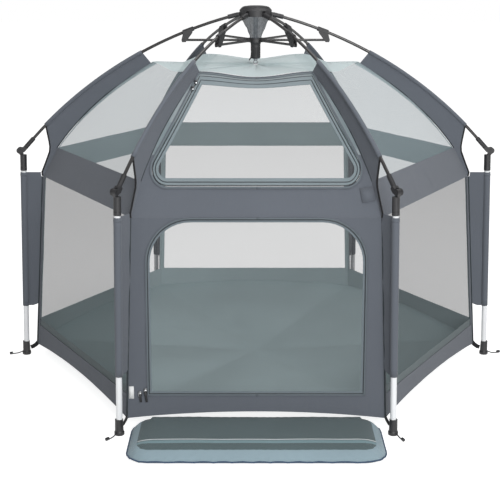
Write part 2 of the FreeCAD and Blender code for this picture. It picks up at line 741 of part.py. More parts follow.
def arch_tool():
    """Everything below the arched hem of a side."""
    end = HEM[0] / 2
    hem_curve = Part.Arc(Vector(0, -end, HEM[1]), Vector(0, 0, HEM[1] + size("hem_arch")),
                         Vector(0, end, HEM[1])).toShape()
    below = Part.makePolygon([Vector(0, end, HEM[1]), Vector(0, end + 20, HEM[1]), Vector(0, end + 20, -10),
                              Vector(0, -end - 20, -10), Vector(0, -end - 20, HEM[1]),
                              Vector(0, -end, HEM[1])])
    wire = Part.Wire(Part.__sortEdges__([hem_curve] + below.Edges))
    return Part.Face(wire).extrude(Vector(HEM[0] + 20, 0, 0))


def half_wedge(sign):
    """Room between a corner's radial plane and the middle of the side next to it."""
    reach = HEM[0] * 1.4
    gap = size("cloth_gap")
    mid = math.radians(STEP / 2)
    inner = Vector(gap / math.sin(mid), 0, 0)
    far = inner + Vector(math.cos(mid), sign * math.sin(mid), 0) * reach
    points = [inner, Vector(reach, 0, 0), far]
    face = Part.Face(Part.makePolygon(points + points[:1]))
    face.translate(Vector(0, 0, -10))
    return face.extrude(UP * (size("hub_height") + 10))


def outline_prism(points, corner_radius, rounded):
    """A panel outline in the XZ plane of the front, pushed through it, with rounded corners."""
    wire = Part.makePolygon(points + points[:1])
    face = Part.Face(wire)
    prism = face.extrude(Vector(0, HEM[0], 0))
    edges = []
    for edge in prism.Edges:
        ends = [vertex.Point for vertex in edge.Vertexes]
        if abs(ends[0].y - ends[1].y) < HEM[0] / 2:
            continue
        if any(abs(ends[0].x - p.x) < 1e-6 and abs(ends[0].z - p.z) < 1e-6 for p in rounded):
            edges.append(edge)
    prism = prism.makeFillet(corner_radius, edges)
    prism.translate(Vector(0, -HEM[0] - 10, 0))
    return prism


def door_prism(shrink):
    half = size("door_half") - shrink
    low = size("door_sill") + shrink
    high = size("door_top") - shrink
    points = [Vector(-half, 0, low), Vector(half, 0, low), Vector(half, 0, high), Vector(-half, 0, high)]
    return outline_prism(points, size("door_corner") - shrink, points[2:])


def dome_radius(height):
    """Corner radius of the dome at a height, along its chord."""
    share = (height - BAND_TOP[1]) / (ROOF[1] - BAND_TOP[1])
    return BAND_TOP[0] + share * (ROOF[0] - BAND_TOP[0])


def window_prism(shrink):
    low = size("window_foot") + shrink
    high = size("window_top") - shrink
    margin = size("window_margin") + shrink
    half_low = dome_radius(low) / 2 - margin
    half_high = dome_radius(high) / 2 - margin
    points = [Vector(-half_low, 0, low), Vector(half_low, 0, low), Vector(half_high, 0, high),
              Vector(-half_high, 0, high)]
    return outline_prism(points, size("window_corner") - shrink, points[:2])


def plate(points):
    """A fin in the radial plane."""
    face = Part.Face(Part.makePolygon(points + points[:1]))
    face.translate(ACROSS * (-size("fin_cloth") / 2))
    return face.extrude(ACROSS * size("fin_cloth"))


def arm_fin():
    """Fin and sleeve that hang the dome from the pole, cut away beside the knee."""
    slopes = (pole_slope_at(size("fin_start")), pole_slope_at(size("fin_end")))
    top = [on_pole(slopes[0] + (slopes[1] - slopes[0]) * i / 8) for i in range(9)]
    arc, low, high = dome_arc(1, size("cloth"))
    inner = [Vector(p.x, 0, p.z) for p in arc.toShape().discretize(8)]
    notch = size("knee_notch")
    outer = [Vector(notch, 0, BAND_TOP[1] + 18), Vector(notch, 0, BAND_TOP[1] - 12)]
    foot = Vector(BAND_FOOT[0] + 2, 0, BAND_FOOT[1] + 12)
    inside = Vector(BAND_FOOT[0] - 3, 0, BAND_FOOT[1] + 1)
    fin = plate(top + outer + [foot, inside] + inner)
    radius = size("pole_radius") + size("slide_gap") + size("sleeve_wall")
    return fin, slopes, radius


def rod_shape(radius, slope_from, slope_to):
    turn = math.degrees(slope_to - slope_from)
    rod = Part.makeTorus(pole_arc, radius, Vector(), UP, 0, 360, turn)
    lay_flat = Rotation(Vector(1, 0, 0), 90)
    swing = Rotation(ACROSS, math.degrees(slope_to) - 90)
    rod.Placement = Placement(pole_centre, swing.multiply(lay_flat))
    return rod


def leg_rod(radius, height_from, height_to):
    low = on_leg(height_from)
    high = on_leg(height_to)
    return Part.makeCylinder(radius, (high - low).Length, low, high - low)


def halves(panel):
    """The two halves of neighbouring sides that meet at the corner along +X."""
    shapes = []
    for sign in (1, -1):
        side = panel.copy()
        side.rotate(Vector(), UP, sign * STEP / 2)
        shapes.append(side.common(half_wedge(sign)))
    return shapes


def make_fabric():
    """Wall, dome and floor panels for every sector, and the door and window panels."""
    wall_side, dome_side = side_panels()
    wall_side = wall_side.cut(arch_tool())
    leg_bore = leg_rod(size("tube_radius") + size("slide_gap"), 20, size("knee_height"))
    sleeve = leg_rod(size("tube_radius") + size("slide_gap") + size("sleeve_wall"),
                     size("leg_fin_foot"), size("leg_fin_top"))
    top, low = size("leg_fin_top"), size("leg_fin_foot")
    leg_fin = plate([
        Vector(wall_radius(BAND_FOOT[1] - 1) - 2, 0, BAND_FOOT[1] - 1),
        Vector(wall_radius(BAND_FOOT[1] - 1) + 8, 0, BAND_FOOT[1] - 1),
        Vector(wall_radius(BAND_FOOT[1] - 1) + 12, 0, top),
        on_leg(top), on_leg(low),
        Vector(wall_radius(low) - 2, 0, low),
    ])
    strap_start = Vector(HEM[0] - 2, 0, HEM[1] + 8)
    strap_end = on_leg(size("boot_height") * 0.5, -size("boot_radius") + 1.6)
    strap = plate([strap_start, strap_end + Vector(0, 0, 5), strap_end - Vector(0, 0, 5),
                   strap_start - Vector(0, 0, 10)])
    fin, slopes, sleeve_radius = arm_fin()
    pole_sleeve = rod_shape(sleeve_radius, slopes[0], slopes[1])
    pole_room = rod_shape(size("pole_radius") + size("slide_gap"), slope_start, slope_end)
    wall_halves = halves(wall_side)
    dome_halves = halves(dome_side)
    wall = wall_halves[0].fuse(wall_halves[1:] + [leg_fin, sleeve, strap]).cut(leg_bore)
    dome = dome_halves[0].fuse(dome_halves[1:] + [fin, pole_sleeve]).cut(pole_room)
    nodes = {}
    for i, name in enumerate(SECTORS):
        wall_turned = wall.copy()
        wall_turned.rotate(Vector(), UP, i * STEP)
        dome_turned = dome.copy()
        dome_turned.rotate(Vector(), UP, i * STEP)
        if name.startswith("front"):
            wall_turned = wall_turned.cut(door_prism(0))
            dome_turned = dome_turned.cut(window_prism(0))
        nodes["wall_panel_" + name] = wall_turned
        nodes["dome_panel_" + name] = dome_turned
    gap = 2 * size("cloth_gap")
    front_wall, front_dome = wall_side.copy(), dome_side.copy()
    front_wall.rotate(Vector(), UP, -90)
    front_dome.rotate(Vector(), UP, -90)
    nodes["door_panel"] = front_wall.common(door_prism(gap))
    nodes["window_panel"] = front_dome.common(window_prism(gap))
    return nodes


def make_floor():
    """One kite of the floor cloth, hung between the corner, two side middles and the centre."""
    drop = size("cloth_gap")
    inset = size("cloth")
    lean = HEM[0] - inset / FACE
    side_height = HEM[1] + size("hem_arch") - drop
    reach = (wall_radius(side_height) - inset / FACE) * FACE
    corner_point = Vector(lean, 0, HEM[1] - drop)
    centre = Vector(0, 0, size("ground_centre"))
    shapes = []
    for sign in (1, -1):
        turn = math.radians(STEP / 2) * sign
        middle = Vector(reach * math.cos(turn), reach * math.sin(turn), side_height)
        points = [centre, corner_point, middle]
        face = Part.Face(Part.makePolygon(points + points[:1]))
        shapes.append(face.extrude(UP * -size("floor_cloth")).common(half_wedge(sign)))
    return shapes[0].fuse(shapes[1])


def make_mat():
    mat = padded_body("mat_pad_body", "XY_Plane", [
        ("-p.mat_width / 2", "-p.mat_front"),
        ("p.mat_width / 2", "-p.mat_front"),
        ("p.mat_width / 2", "-p.mat_front + s.mat_depth"),
        ("-p.mat_width / 2", "-p.mat_front + s.mat_depth"),
    ], "s.mat_height")
    doc.recompute()
    pad = mat.Tip
    upright = [f"Edge{i + 1}" for i, edge in enumerate(pad.Shape.Edges)
               if abs(edge.tangentAt(edge.FirstParameter).z) > 0.9]
    fillet = mat.newObject("PartDesign::Fillet", "mat_corners")
    fillet.Base = (pad, upright)
    bind(fillet, Radius="s.mat_corner")
    doc.recompute()
    rims = [f"Edge{i + 1}" for i, edge in enumerate(fillet.Shape.Edges)
            if abs(edge.BoundBox.ZLength) < 0.01]
    round_rim = mat.newObject("PartDesign::Fillet", "mat_rim")
    round_rim.Base = (fillet, rims)
    bind(round_rim, Radius="s.mat_height * 0.3")
    mat.Tip = round_rim
    mat.Placement = Placement(Vector(0, 0, size("mat_height") / 2), Rotation())
    return mat


# ---------------------------------------------------------------- assembly

def build():
    """All sub-parts, as a list of (node name, document object)."""
    nodes = [
        ("crown", make_crown()),
        ("hub_cap", make_cap()),
        ("centre_post", make_post()),
        ("hub_pins", make_hub_pins()),
        ("opening_spring", make_spring()),
        ("guard_cone", make_guard()),
        ("roof_centre", make_roof_tie()),
        ("runner", make_runner()),
        ("release_lever", make_lever()),
        ("door_mat", make_mat()),
    ]
    frame = {
        "arm_pole": pole_rod("pole", "s.pole_radius", pole_from, pole_to),
        "arm_fittings": group("fittings", make_arm_root(), make_clip(), make_fork(), make_knee_pin()),
        "strut": make_strut(),
        "leg_tube": make_leg_tube(),
        "leg_fittings": group("foot_and_knuckle", make_knuckle(), make_boot()),
        "floor_panel": feature("floor_kite", make_floor()),
    }
    for kind, master in frame.items():
        for i, name in enumerate(SECTORS):
            nodes.append((f"{kind}_{name}", turned(f"{kind}_{name}_copy", master, i * STEP)))
    for name, shape in make_fabric().items():
        nodes.append((name, feature(name + "_cloth", shape)))
    return nodes


def check(nodes):
    doc.recompute()
    failed = [obj.Name for obj in doc.Objects if {"Invalid", "Error"} & set(obj.State)]
    if failed:
        raise RuntimeError("failed objects: " + ", ".join(failed))
    for name, obj in nodes:
        if obj.Shape.isNull() or not obj.Shape.isValid() or not obj.Shape.Solids:
            raise RuntimeError("bad shape: " + name)


def main():
    nodes = build()
    for name, obj in nodes:
        obj.Label = name
    check(nodes)
    os.makedirs("parts", exist_ok=True)
    for name, obj in nodes:
        obj.Shape.exportStep(f"parts/{name}.step")
        box = obj.Shape.BoundBox
        print(name, len(obj.Shape.Solids), f"{obj.Shape.Volume:.0f}",
              f"z {box.ZMin:.1f}..{box.ZMax:.1f} x {box.XMin:.1f}..{box.XMax:.1f}")


main()
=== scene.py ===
import math

import bmesh
import bpy
from mathutils import Matrix, Vector, noise
from mathutils.geometry import delaunay_2d_cdt


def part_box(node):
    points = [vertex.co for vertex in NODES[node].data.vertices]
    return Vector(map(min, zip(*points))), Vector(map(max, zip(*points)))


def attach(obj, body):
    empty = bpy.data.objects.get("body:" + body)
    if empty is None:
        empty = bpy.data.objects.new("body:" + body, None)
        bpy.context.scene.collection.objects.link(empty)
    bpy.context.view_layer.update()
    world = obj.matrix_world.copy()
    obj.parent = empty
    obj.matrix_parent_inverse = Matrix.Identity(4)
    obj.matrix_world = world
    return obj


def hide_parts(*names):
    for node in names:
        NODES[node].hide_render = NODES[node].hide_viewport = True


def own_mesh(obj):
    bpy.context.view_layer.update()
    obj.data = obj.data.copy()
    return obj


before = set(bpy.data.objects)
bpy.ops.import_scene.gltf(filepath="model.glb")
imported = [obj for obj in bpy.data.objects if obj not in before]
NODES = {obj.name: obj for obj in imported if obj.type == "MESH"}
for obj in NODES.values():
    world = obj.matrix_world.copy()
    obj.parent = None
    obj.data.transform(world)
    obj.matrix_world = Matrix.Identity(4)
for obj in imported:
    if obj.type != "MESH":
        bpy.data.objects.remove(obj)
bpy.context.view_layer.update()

# ---------------------------------------------------------------- sizes, in metres

SECTORS = {"right": 0, "back_right": 60, "back_left": 120, "left": 180, "front_left": 240, "front_right": 300}
FACE = math.cos(math.radians(30))
# Corners of the cloth, as (radius, height).
HEM = (0.665, 0.032)
BAND_FOOT = (0.626, 0.554)
BAND_TOP = (0.580, 0.639)
ROOF = (0.299, 0.881)
HEM_ARCH = 0.018
HEM_BAND = 0.095
LINING_TOP = 0.115
DOME_BULGE = 0.020
ROOF_LIFT = 0.0075
FLOOR_CENTRE, FLOOR_RISE = 0.012, 0.018
SEWN = 0.0020
EDGE_TAPE = 0.011
SEAM = 0.0003
WALL_TOP = BAND_FOOT[1] - SEAM
MESH_TOP = BAND_FOOT[1] - 0.0005
DOOR_HALF, DOOR_SILL, DOOR_TOP, DOOR_CORNER = 0.274, 0.098, 0.549, 0.109
WINDOW_FOOT, WINDOW_TOP, WINDOW_MARGIN, WINDOW_CORNER = 0.627, 0.872, 0.005, 0.040
PIVOT = Vector((0.036, 0, 1.025))
KNEE = Vector((0.690, 0, 0.631))
POLE_SLOPE = math.radians(50)
POLE_OFFSET = 0.008
LEG_OFFSET = 0.010
LEG_SPLAY = math.radians(1.85)
POLE_RADIUS, TUBE_RADIUS, BOOT_RADIUS, SLEEVE = 0.00425, 0.008, 0.013, 0.0018
FIN_START, FIN_END, FIN_CLOTH = 0.326, 0.611, 0.0022
LEG_FIN_TOP, LEG_FIN_FOOT, LEG_FIN_SEAM = 0.566, 0.156, 0.553
COLLAR = 0.5715
PEG_CORD, PEG_REACH, PEG_KNOB = 0.0016, 0.034, 0.0042
MAT_TUCK, MAT_CORNER, MAT_INSET, MAT_SEAM, MAT_RIM_WIDTH = 0.026, 0.056, 0.003, 0.010, 0.025


# ---------------------------------------------------------------- materials

def srgb(r, g, b):
    """Linear colour of an sRGB triple from 0 to 255."""
    out = []
    for c in (r, g, b):
        c /= 255
        out.append(c / 12.92 if c <= 0.04045 else ((c + 0.055) / 1.055) ** 2.4)
    return out


def new_material(name):
    mat = bpy.data.materials.new(name)
    mat.use_nodes = True
    return mat, mat.node_tree, mat.node_tree.nodes["Principled BSDF"]


def node(tree, kind, settings=None, **inputs):
    made = tree.nodes.new(kind)
    for key, val in (settings or {}).items():
        setattr(made, key, val)
    fill_in(made, **inputs)
    return made


def wire(socket, shader, key):
    shader.id_data.links.new(socket, shader.inputs[key])


def mixed(tree, factor, low, high):
    """Colour between low and high by a factor socket."""
    mix = node(tree, "ShaderNodeMix", {"data_type": "RGBA"})
    fill_in(mix, A=(*low, 1), B=(*high, 1))
    wire(factor, mix, "Factor")
    return mix.outputs["Result"]


def fill_in(shader, **values):
    for key, val in values.items():
        shader.inputs[key.replace("_", " ")].default_value = val


def scaled(colour, factor):
    return [min(1.0, c * factor) for c in colour]


def cloth_material(name, colour, pitch=0.0012, contrast=0.12, mottle=0.10, rough=0.85, sheen=0.15,
                   alpha=1.0, bump=0.0005, crease=0.35, uv=True, gather=0.0):
    """Woven cloth: two crossing ribs, a slow mottle of shade, fine creases."""
    mat, tree, bsdf = new_material(name)
    place = node(tree, "ShaderNodeTexCoord").outputs["UV" if uv else "Object"]
    solid = node(tree, "ShaderNodeTexCoord").outputs["Object"]
    ribs = []
    for axis in ("X", "Y"):
        wave = node(tree, "ShaderNodeTexWave", {"bands_direction": axis}, Scale=0.314 / pitch, Distortion=0.6,
                    Detail=1.0)
        wire(place, wave, "Vector")
        ribs.append(wave.outputs["Fac"])
    weave = node(tree, "ShaderNodeMath", {"operation": "MULTIPLY"})
    wire(ribs[0], weave, 0)
    wire(ribs[1], weave, 1)
    slow = node(tree, "ShaderNodeTexNoise", None, Scale=5.0, Detail=3.0, Roughness=0.55)
    wire(solid, slow, "Vector")
    shade = node(tree, "ShaderNodeMath", {"operation": "MULTIPLY_ADD"})
    wire(weave.outputs[0], shade, 0)
    shade.inputs[1].default_value = contrast / (contrast + mottle)
    slow_part = node(tree, "ShaderNodeMath", {"operation": "MULTIPLY"})
    wire(slow.outputs["Fac"], slow_part, 0)
    slow_part.inputs[1].default_value = mottle / (contrast + mottle)
    wire(slow_part.outputs[0], shade, 2)
    spread = contrast + mottle
    base = mixed(tree, shade.outputs[0], scaled(colour, 1 - spread * 0.5), scaled(colour, 1 + spread * 0.6))
    wire(base, bsdf, "Base Color")
    folds = node(tree, "ShaderNodeTexNoise", None, Scale=38.0, Detail=4.0, Roughness=0.6, Distortion=0.8)
    wire(solid, folds, "Vector")
    height = node(tree, "ShaderNodeMath", {"operation": "MULTIPLY_ADD"})
    wire(folds.outputs["Fac"], height, 0)
    height.inputs[1].default_value = crease * 3
    wire(weave.outputs[0], height, 2)
    lift = node(tree, "ShaderNodeBump", None, Strength=0.6, Distance=bump)
    wire(height.outputs[0], lift, "Height")
    if gather:
        stretch = node(tree, "ShaderNodeMapping", None, Scale=(46.0, 7.0, 1.0))
        wire(place, stretch, "Vector")
        pleats = node(tree, "ShaderNodeTexNoise", None, Scale=1.0, Detail=2.0, Distortion=0.4)
        wire(stretch.outputs[0], pleats, "Vector")
        deep = node(tree, "ShaderNodeBump", None, Strength=0.7, Distance=gather)
        wire(pleats.outputs["Fac"], deep, "Height")
        wire(deep.outputs[0], lift, "Normal")
    wire(lift.outputs[0], bsdf, "Normal")
    fill_in(bsdf, Roughness=rough, Sheen_Weight=sheen, Sheen_Roughness=0.5, Specular_IOR_Level=0.25,
            Alpha=alpha)
    return mat


def hard_material(name, colour, rough=0.5, metal=0.0, grain=0.06, scale=300.0, bump=0.0001, coat=0.0):
    """Moulded plastic, paint or metal with a fine grain and uneven gloss."""
    mat, tree, bsdf = new_material(name)
    solid = node(tree, "ShaderNodeTexCoord").outputs["Object"]
    fine = node(tree, "ShaderNodeTexNoise", None, Scale=scale, Detail=3.0)
    slow = node(tree, "ShaderNodeTexNoise", None, Scale=14.0, Detail=3.0)
    wire(solid, fine, "Vector")
    wire(solid, slow, "Vector")
    base = mixed(tree, slow.outputs["Fac"], scaled(colour, 1 - grain), scaled(colour, 1 + grain))
    wire(base, bsdf, "Base Color")
    gloss = node(tree, "ShaderNodeMapRange", None, To_Min=max(0.05, rough - 0.08), To_Max=rough + 0.08)
    wire(slow.outputs["Fac"], gloss, "Value")
    wire(gloss.outputs[0], bsdf, "Roughness")
    lift = node(tree, "ShaderNodeBump", None, Strength=0.4, Distance=bump)
    wire(fine.outputs["Fac"], lift, "Height")
    wire(lift.outputs[0], bsdf, "Normal")
    fill_in(bsdf, Metallic=metal, Coat_Weight=coat)
    return mat


SLATE = cloth_material("slate_cloth", srgb(95, 100, 108), gather=0.0016)
LINING = cloth_material("teal_lining", srgb(160, 175, 178), contrast=0.08, gather=0.001)
FLOOR = cloth_material("teal_floor", srgb(162, 181, 184), contrast=0.06, mottle=0.16, rough=0.6, sheen=0.05,
                       bump=0.0012, crease=0.8)
NET = {"pitch": 0.0016, "mottle": 0.05, "sheen": 0.0, "crease": 0.1}
MESH = cloth_material("side_mesh", srgb(72, 74, 76), contrast=0.3, alpha=0.42, **NET)
DOME = cloth_material("dome_mesh", srgb(150, 164, 170), contrast=0.2, alpha=0.36, **NET)
CLEAR = cloth_material("clear_mesh", srgb(150, 153, 156), contrast=0.3, alpha=0.13, **NET)
SHEER = cloth_material("roof_sheer", srgb(190, 206, 208), pitch=0.0008, contrast=0.06, mottle=0.1, alpha=0.82,
                       sheen=0.1, rough=0.6, bump=0.0008, crease=0.7)
TAPE = cloth_material("zip_tape", srgb(130, 142, 147), pitch=0.0016, contrast=0.2, alpha=0.85)
DOOR_TAPE = cloth_material("door_tape", srgb(108, 118, 124), pitch=0.0016, contrast=0.2)
PALE = cloth_material("pale_edge", srgb(176, 194, 197), pitch=0.0010, contrast=0.08, alpha=0.7)
GUARD = cloth_material("guard_sheer", srgb(112, 117, 122), pitch=0.0010, contrast=0.1, mottle=0.3, alpha=0.72,
                       rough=0.45, bump=0.002, crease=1.0, uv=False)
PIPING = cloth_material("dark_piping", srgb(46, 54, 58), pitch=0.0010, contrast=0.3, uv=False)
WEB = cloth_material("black_webbing", srgb(28, 29, 31), pitch=0.0022, contrast=0.4, uv=False)
MAT_TOP = cloth_material("mat_top", srgb(78, 94, 97), contrast=0.10, mottle=0.14, rough=0.55, uv=False,
                         bump=0.001, crease=0.5)
MAT_RIM = cloth_material("mat_rim", srgb(136, 156, 165), contrast=0.08, mottle=0.16, rough=0.5, uv=False,
                         bump=0.001, crease=0.6)
MAT_EDGE = cloth_material("mat_edge", srgb(56, 76, 100), contrast=0.2, uv=False)
STRIPE = cloth_material("mat_stripe", srgb(112, 138, 144), contrast=0.1, uv=False)
WHITE_LINE = cloth_material("white_line", srgb(206, 212, 214), contrast=0.1, uv=False)
LABEL = cloth_material("white_tag", srgb(228, 230, 230), contrast=0.06, uv=False)
PLASTIC = hard_material("black_plastic", srgb(38, 38, 40), rough=0.5, bump=0.0003)
POLE = hard_material("black_pole", srgb(44, 42, 42), rough=0.32, coat=0.3)
TUBE = hard_material("white_tube", srgb(226, 228, 230), rough=0.3, grain=0.02, coat=0.4)
STEEL = hard_material("brushed_steel", srgb(150, 152, 156), rough=0.35, metal=1.0, scale=900.0)
ZIP = hard_material("zip_coil", srgb(40, 46, 50), rough=0.45)
PULL = hard_material("zip_pull", srgb(170, 172, 174), rough=0.3, metal=0.9)


# ---------------------------------------------------------------- shell geometry

def wall_radius(z):
    return BAND_FOOT[0] + (BAND_FOOT[1] - z) * (HEM[0] - BAND_FOOT[0]) / (BAND_FOOT[1] - HEM[1])


def band_radius(z):
    share = (z - BAND_FOOT[1]) / (BAND_TOP[1] - BAND_FOOT[1])
    return BAND_FOOT[0] + share * (BAND_TOP[0] - BAND_FOOT[0])


DOME_LOW = Vector((BAND_TOP[0] * FACE, BAND_TOP[1]))
DOME_HIGH = Vector((ROOF[0] * FACE, ROOF[1]))
DOME_ALONG = DOME_HIGH - DOME_LOW
DOME_NORMAL = Vector((DOME_ALONG.y, -DOME_ALONG.x)).normalized()
DOME_ARC = (DOME_ALONG.length_squared / 4 + DOME_BULGE ** 2) / (2 * DOME_BULGE)
DOME_CENTRE = (DOME_LOW + DOME_HIGH) / 2 + DOME_NORMAL * (DOME_BULGE - DOME_ARC)


def dome_radius(z):
    z = min(z, ROOF[1])
    return (DOME_CENTRE.x + math.sqrt(DOME_ARC ** 2 - (z - DOME_CENTRE.y) ** 2)) / FACE


def shell_radius(z):
    """Corner radius of the cloth at a height."""
    if z < BAND_FOOT[1]:
        return wall_radius(z)
    if z < BAND_TOP[1]:
        return band_radius(z)
    return dome_radius(z)


def dome_share(z):
    """Height within the dome, from 0 at its foot to 1 at the roof."""
    return (z - BAND_TOP[1]) / (ROOF[1] - BAND_TOP[1])


def turned(point, degrees):
    return Matrix.Rotation(math.radians(degrees), 3, "Z") @ Vector(point)


class Half:
    """Half a side of the shell, from a corner to the middle of the side next to it."""

    def __init__(self, sector, sign):
        self.sector = sector
        self.sign = sign
        self.turn = SECTORS[sector]
        self.name = f"{sector}_{'a' if sign > 0 else 'b'}"
        self.front = (sector, sign) in (("front_left", 1), ("front_right", -1))
        self.along = Vector((-0.5, sign * FACE, 0))

    def point(self, u, z, lift=0.0):
        """A point u along the side from the corner at height z, lifted off the cloth."""
        radius = shell_radius(z)
        share = max(0.0, dome_share(z)) ** 3
        pull = ROOF_LIFT * math.cos(math.pi * (1 - abs(1 - u * 2 / radius))) * share
        step = 0.002
        slope = (shell_radius(z + step) - shell_radius(z - step)) * FACE / (2 * step)
        length = math.hypot(1, slope)
        out = Vector((FACE, self.sign * 0.5, 0)) * (lift / length)
        local = Vector((radius, 0, z + pull)) + self.along * u + out - Vector((0, 0, lift * slope / length))
        return turned(local, self.turn)

    def below(self, depth):
        """The surface at a depth under the outer face of the cloth."""
        return lambda u, z, lift: self.point(u, z, lift - depth)

    def axis(self, low, high):
        """Direction in which the half gathers towards its corner line."""
        line = Vector((high[0] - low[0], 0, high[1] - low[1])).normalized()
        across = self.along - line * self.along.dot(line)
        return turned(across.normalized(), self.turn)

    def anchor(self, low, high):
        return turned(((low[0] + high[0]) / 2, 0, (low[1] + high[1]) / 2), self.turn)


HALVES = [Half(sector, sign) for sector in SECTORS for sign in (1, -1)]


def dense(points, step, closed=True):
    """The outline with points added so that none are further apart than step."""
    out = []
    count = len(points)
    for i in range(count if closed else count - 1):
        a, b = Vector(points[i]), Vector(points[(i + 1) % count])
        parts = max(1, math.ceil((b - a).length / step))
        out += [a.lerp(b, k / parts) for k in range(parts)]
    if not closed:
        out.append(Vector(points[-1]))
    return out


def signed_area(points):
    total = 0.0
    for i, a in enumerate(points):
        b = points[(i + 1) % len(points)]
        total += a.x * b.y - b.x * a.y
    return total / 2


def inside(p, outline):
    hit = False
    for i, a in enumerate(outline):
        b = outline[(i + 1) % len(outline)]
        if (a.y > p.y) != (b.y > p.y) and p.x < (b.x - a.x) * (p.y - a.y) / (b.y - a.y) + a.x:
            hit = not hit
    return hit


def filled(outline, step):
    """Triangles inside an outline, evenly sized."""
    border = dense([Vector((p[0], p[1])) for p in outline], step)
    if signed_area(border) < 0:
        border.reverse()
    xs, ys = [p.x for p in border], [p.y for p in border]
    points = list(border)
    rows = int((max(ys) - min(ys)) / (step * 0.866)) + 1
    for r in range(1, rows):
        y = min(ys) + r * step * 0.866
        x = min(xs) + (step / 2 if r % 2 else step)
        while x < max(xs):
            p = Vector((x, y))
            if inside(p, border) and min((p - q).length for q in border) > step * 0.45:
                points.append(p)
            x += step
    ring = [(i, (i + 1) % len(border)) for i in range(len(border))]
    made = delaunay_2d_cdt(points, ring, [list(range(len(border)))], 1, 1e-7)
    return made[0], made[2]


def mesh_object(name, points, faces, materials, uvs=None):
    mesh = bpy.data.meshes.new(name)
    mesh.from_pydata([tuple(p) for p in points], [], [tuple(f) for f in faces])
    if uvs is not None:
        layer = mesh.uv_layers.new(name="cloth")
        for loop in mesh.loops:
            layer.data[loop.index].uv = uvs[loop.vertex_index]
    for mat in materials:
        mesh.materials.append(mat)
    mesh.polygons.foreach_set("use_smooth", [True] * len(mesh.polygons))
    mesh.validate()
    obj = bpy.data.objects.new(name, mesh)
    bpy.context.scene.collection.objects.link(obj)
    return obj


def thicken(obj, thickness, inner=0, offset=-1.0):
    """Gives cloth its thickness; inner is the material of the inside face."""
    solid = obj.modifiers.new("thickness", "SOLIDIFY")
    solid.thickness = thickness
    solid.offset = offset
    solid.material_offset = inner
    solid.material_offset_rim = 0
    apply_modifiers(obj)
    obj.data.set_sharp_from_angle(angle=math.radians(50))
    return obj


def apply_modifiers(obj):
    """Bakes the object's modifiers into its mesh."""
    bpy.context.view_layer.update()
    graph = bpy.context.evaluated_depsgraph_get()
    mesh = bpy.data.meshes.new_from_object(obj.evaluated_get(graph))
    mesh.name = obj.name
    obj.modifiers.clear()
    obj.data = mesh


def cloth_wave(p, size=0.0009):
    """Slow unevenness of hanging cloth."""
    return size * (noise.noise(p * 11) + 0.5 * noise.noise(p * 29 + Vector((3, 1, 2))))


def patch(name, outline, surface, materials, step=0.028, thickness=None, inner=0, sag=0.0009):
    """A cloth patch: a flat outline laid on a surface function."""
    flat, faces = filled(outline, step)
    points = []
    for q in flat:
        p = surface(q.x, q.y, 0.0)
        lift = cloth_wave(p, sag)
        points.append(surface(q.x, q.y, lift))
    obj = mesh_object(name, points, faces, materials, uvs=[(q.x, q.y) for q in flat])
    outward(obj)
    if thickness:
        thicken(obj, thickness, inner)
    return obj


def outward(obj):
    """Turns an open patch so that its faces look away from the middle of the yard."""
    mesh = obj.data
    core = Vector((0, 0, 0.45))
    total = sum((f.center - core).dot(f.normal) * f.area for f in mesh.polygons)
    if total < 0:
        mesh.flip_normals()


def tube(name, points, radius, material, sides=8, closed=False, flat=1.0, up=None):
    """A round or flattened tube along points."""
    points = [Vector(p) for p in points]
    count = len(points)
    verts, faces = [], []
    normal = None
    for i, p in enumerate(points):
        if closed:
            tangent = points[(i + 1) % count] - points[i - 1]
        else:
            tangent = points[min(i + 1, count - 1)] - points[max(i - 1, 0)]
        tangent.normalize()
        if up is not None:
            normal = up - tangent * up.dot(tangent)
        elif normal is None:
            seed = Vector((0, 0, 1)) if abs(tangent.z) < 0.9 else Vector((1, 0, 0))
            normal = seed - tangent * seed.dot(tangent)
        else:
            normal = normal - tangent * normal.dot(tangent)
        normal.normalize()
        side = tangent.cross(normal)
        for k in range(sides):
            a = 2 * math.pi * k / sides
            verts.append(p + side * (math.cos(a) * radius) + normal * (math.sin(a) * radius * flat))
    spans = count if closed else count - 1
    for i in range(spans):
        j = (i + 1) % count
        for k in range(sides):
            m = (k + 1) % sides
            faces.append((i * sides + k, i * sides + m, j * sides + m, j * sides + k))
    if not closed:
        faces.append(tuple(reversed(range(sides))))
        faces.append(tuple((count - 1) * sides + k for k in range(sides)))
    return mesh_object(name, verts, faces, [material])


SHEET_LEAST = 0.0105


def declare_sheet(obj):
    spots = [d.uv for d in obj.data.uv_layers["cloth"].data]
    layers = 2 if obj.get("closed") else 1
    area = cut = 0.0
    for face in obj.data.polygons:
        corners = [spots[i] for i in face.loop_indices]
        area += face.area / layers
        cut += abs(signed_area(corners)) / layers
    width = max(p.x for p in spots) - min(p.x for p in spots)
    length = (max(p.y for p in spots) - min(p.y for p in spots)) * area / cut
    width, length = max(width, SHEET_LEAST), max(length, SHEET_LEAST)


def place(obj, body, slot, squash=None, replaces=(), sheet=None):
    """Puts a piece on its body and hides the nodes it stands for; a piece given a fold gets a mesh of its
    own, and the slot is not used.
    """
    if replaces:
        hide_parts(*replaces)
    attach(obj, body)
    if squash:
        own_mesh(obj)
    if sheet:
        declare_sheet(obj)
    return obj


def sewn_patch(name, outline, half, step, body, fold, replaces=(), sag=0.0009):
    """Two layers of cloth sewn together, slate outside and teal inside, on their body."""
    obj = patch(name, outline, half.point, [SLATE, LINING], step=step, thickness=SEWN, inner=1, sag=sag)
    obj["closed"] = True
    place(obj, body, "slate_cloth", fold, replaces, "stretched")


# ---------------------------------------------------------------- outlines on a half side

def span(z):
    """Half the length of a side at a height."""
    return shell_radius(z) / 2


def hem_height(u):
    far = HEM[0] / 2
    return HEM[1] + HEM_ARCH * (1 - (1 - u / far) ** 2)


def heights(low, high, count):
    return [low + (high - low) * i / count for i in range(count + 1)]


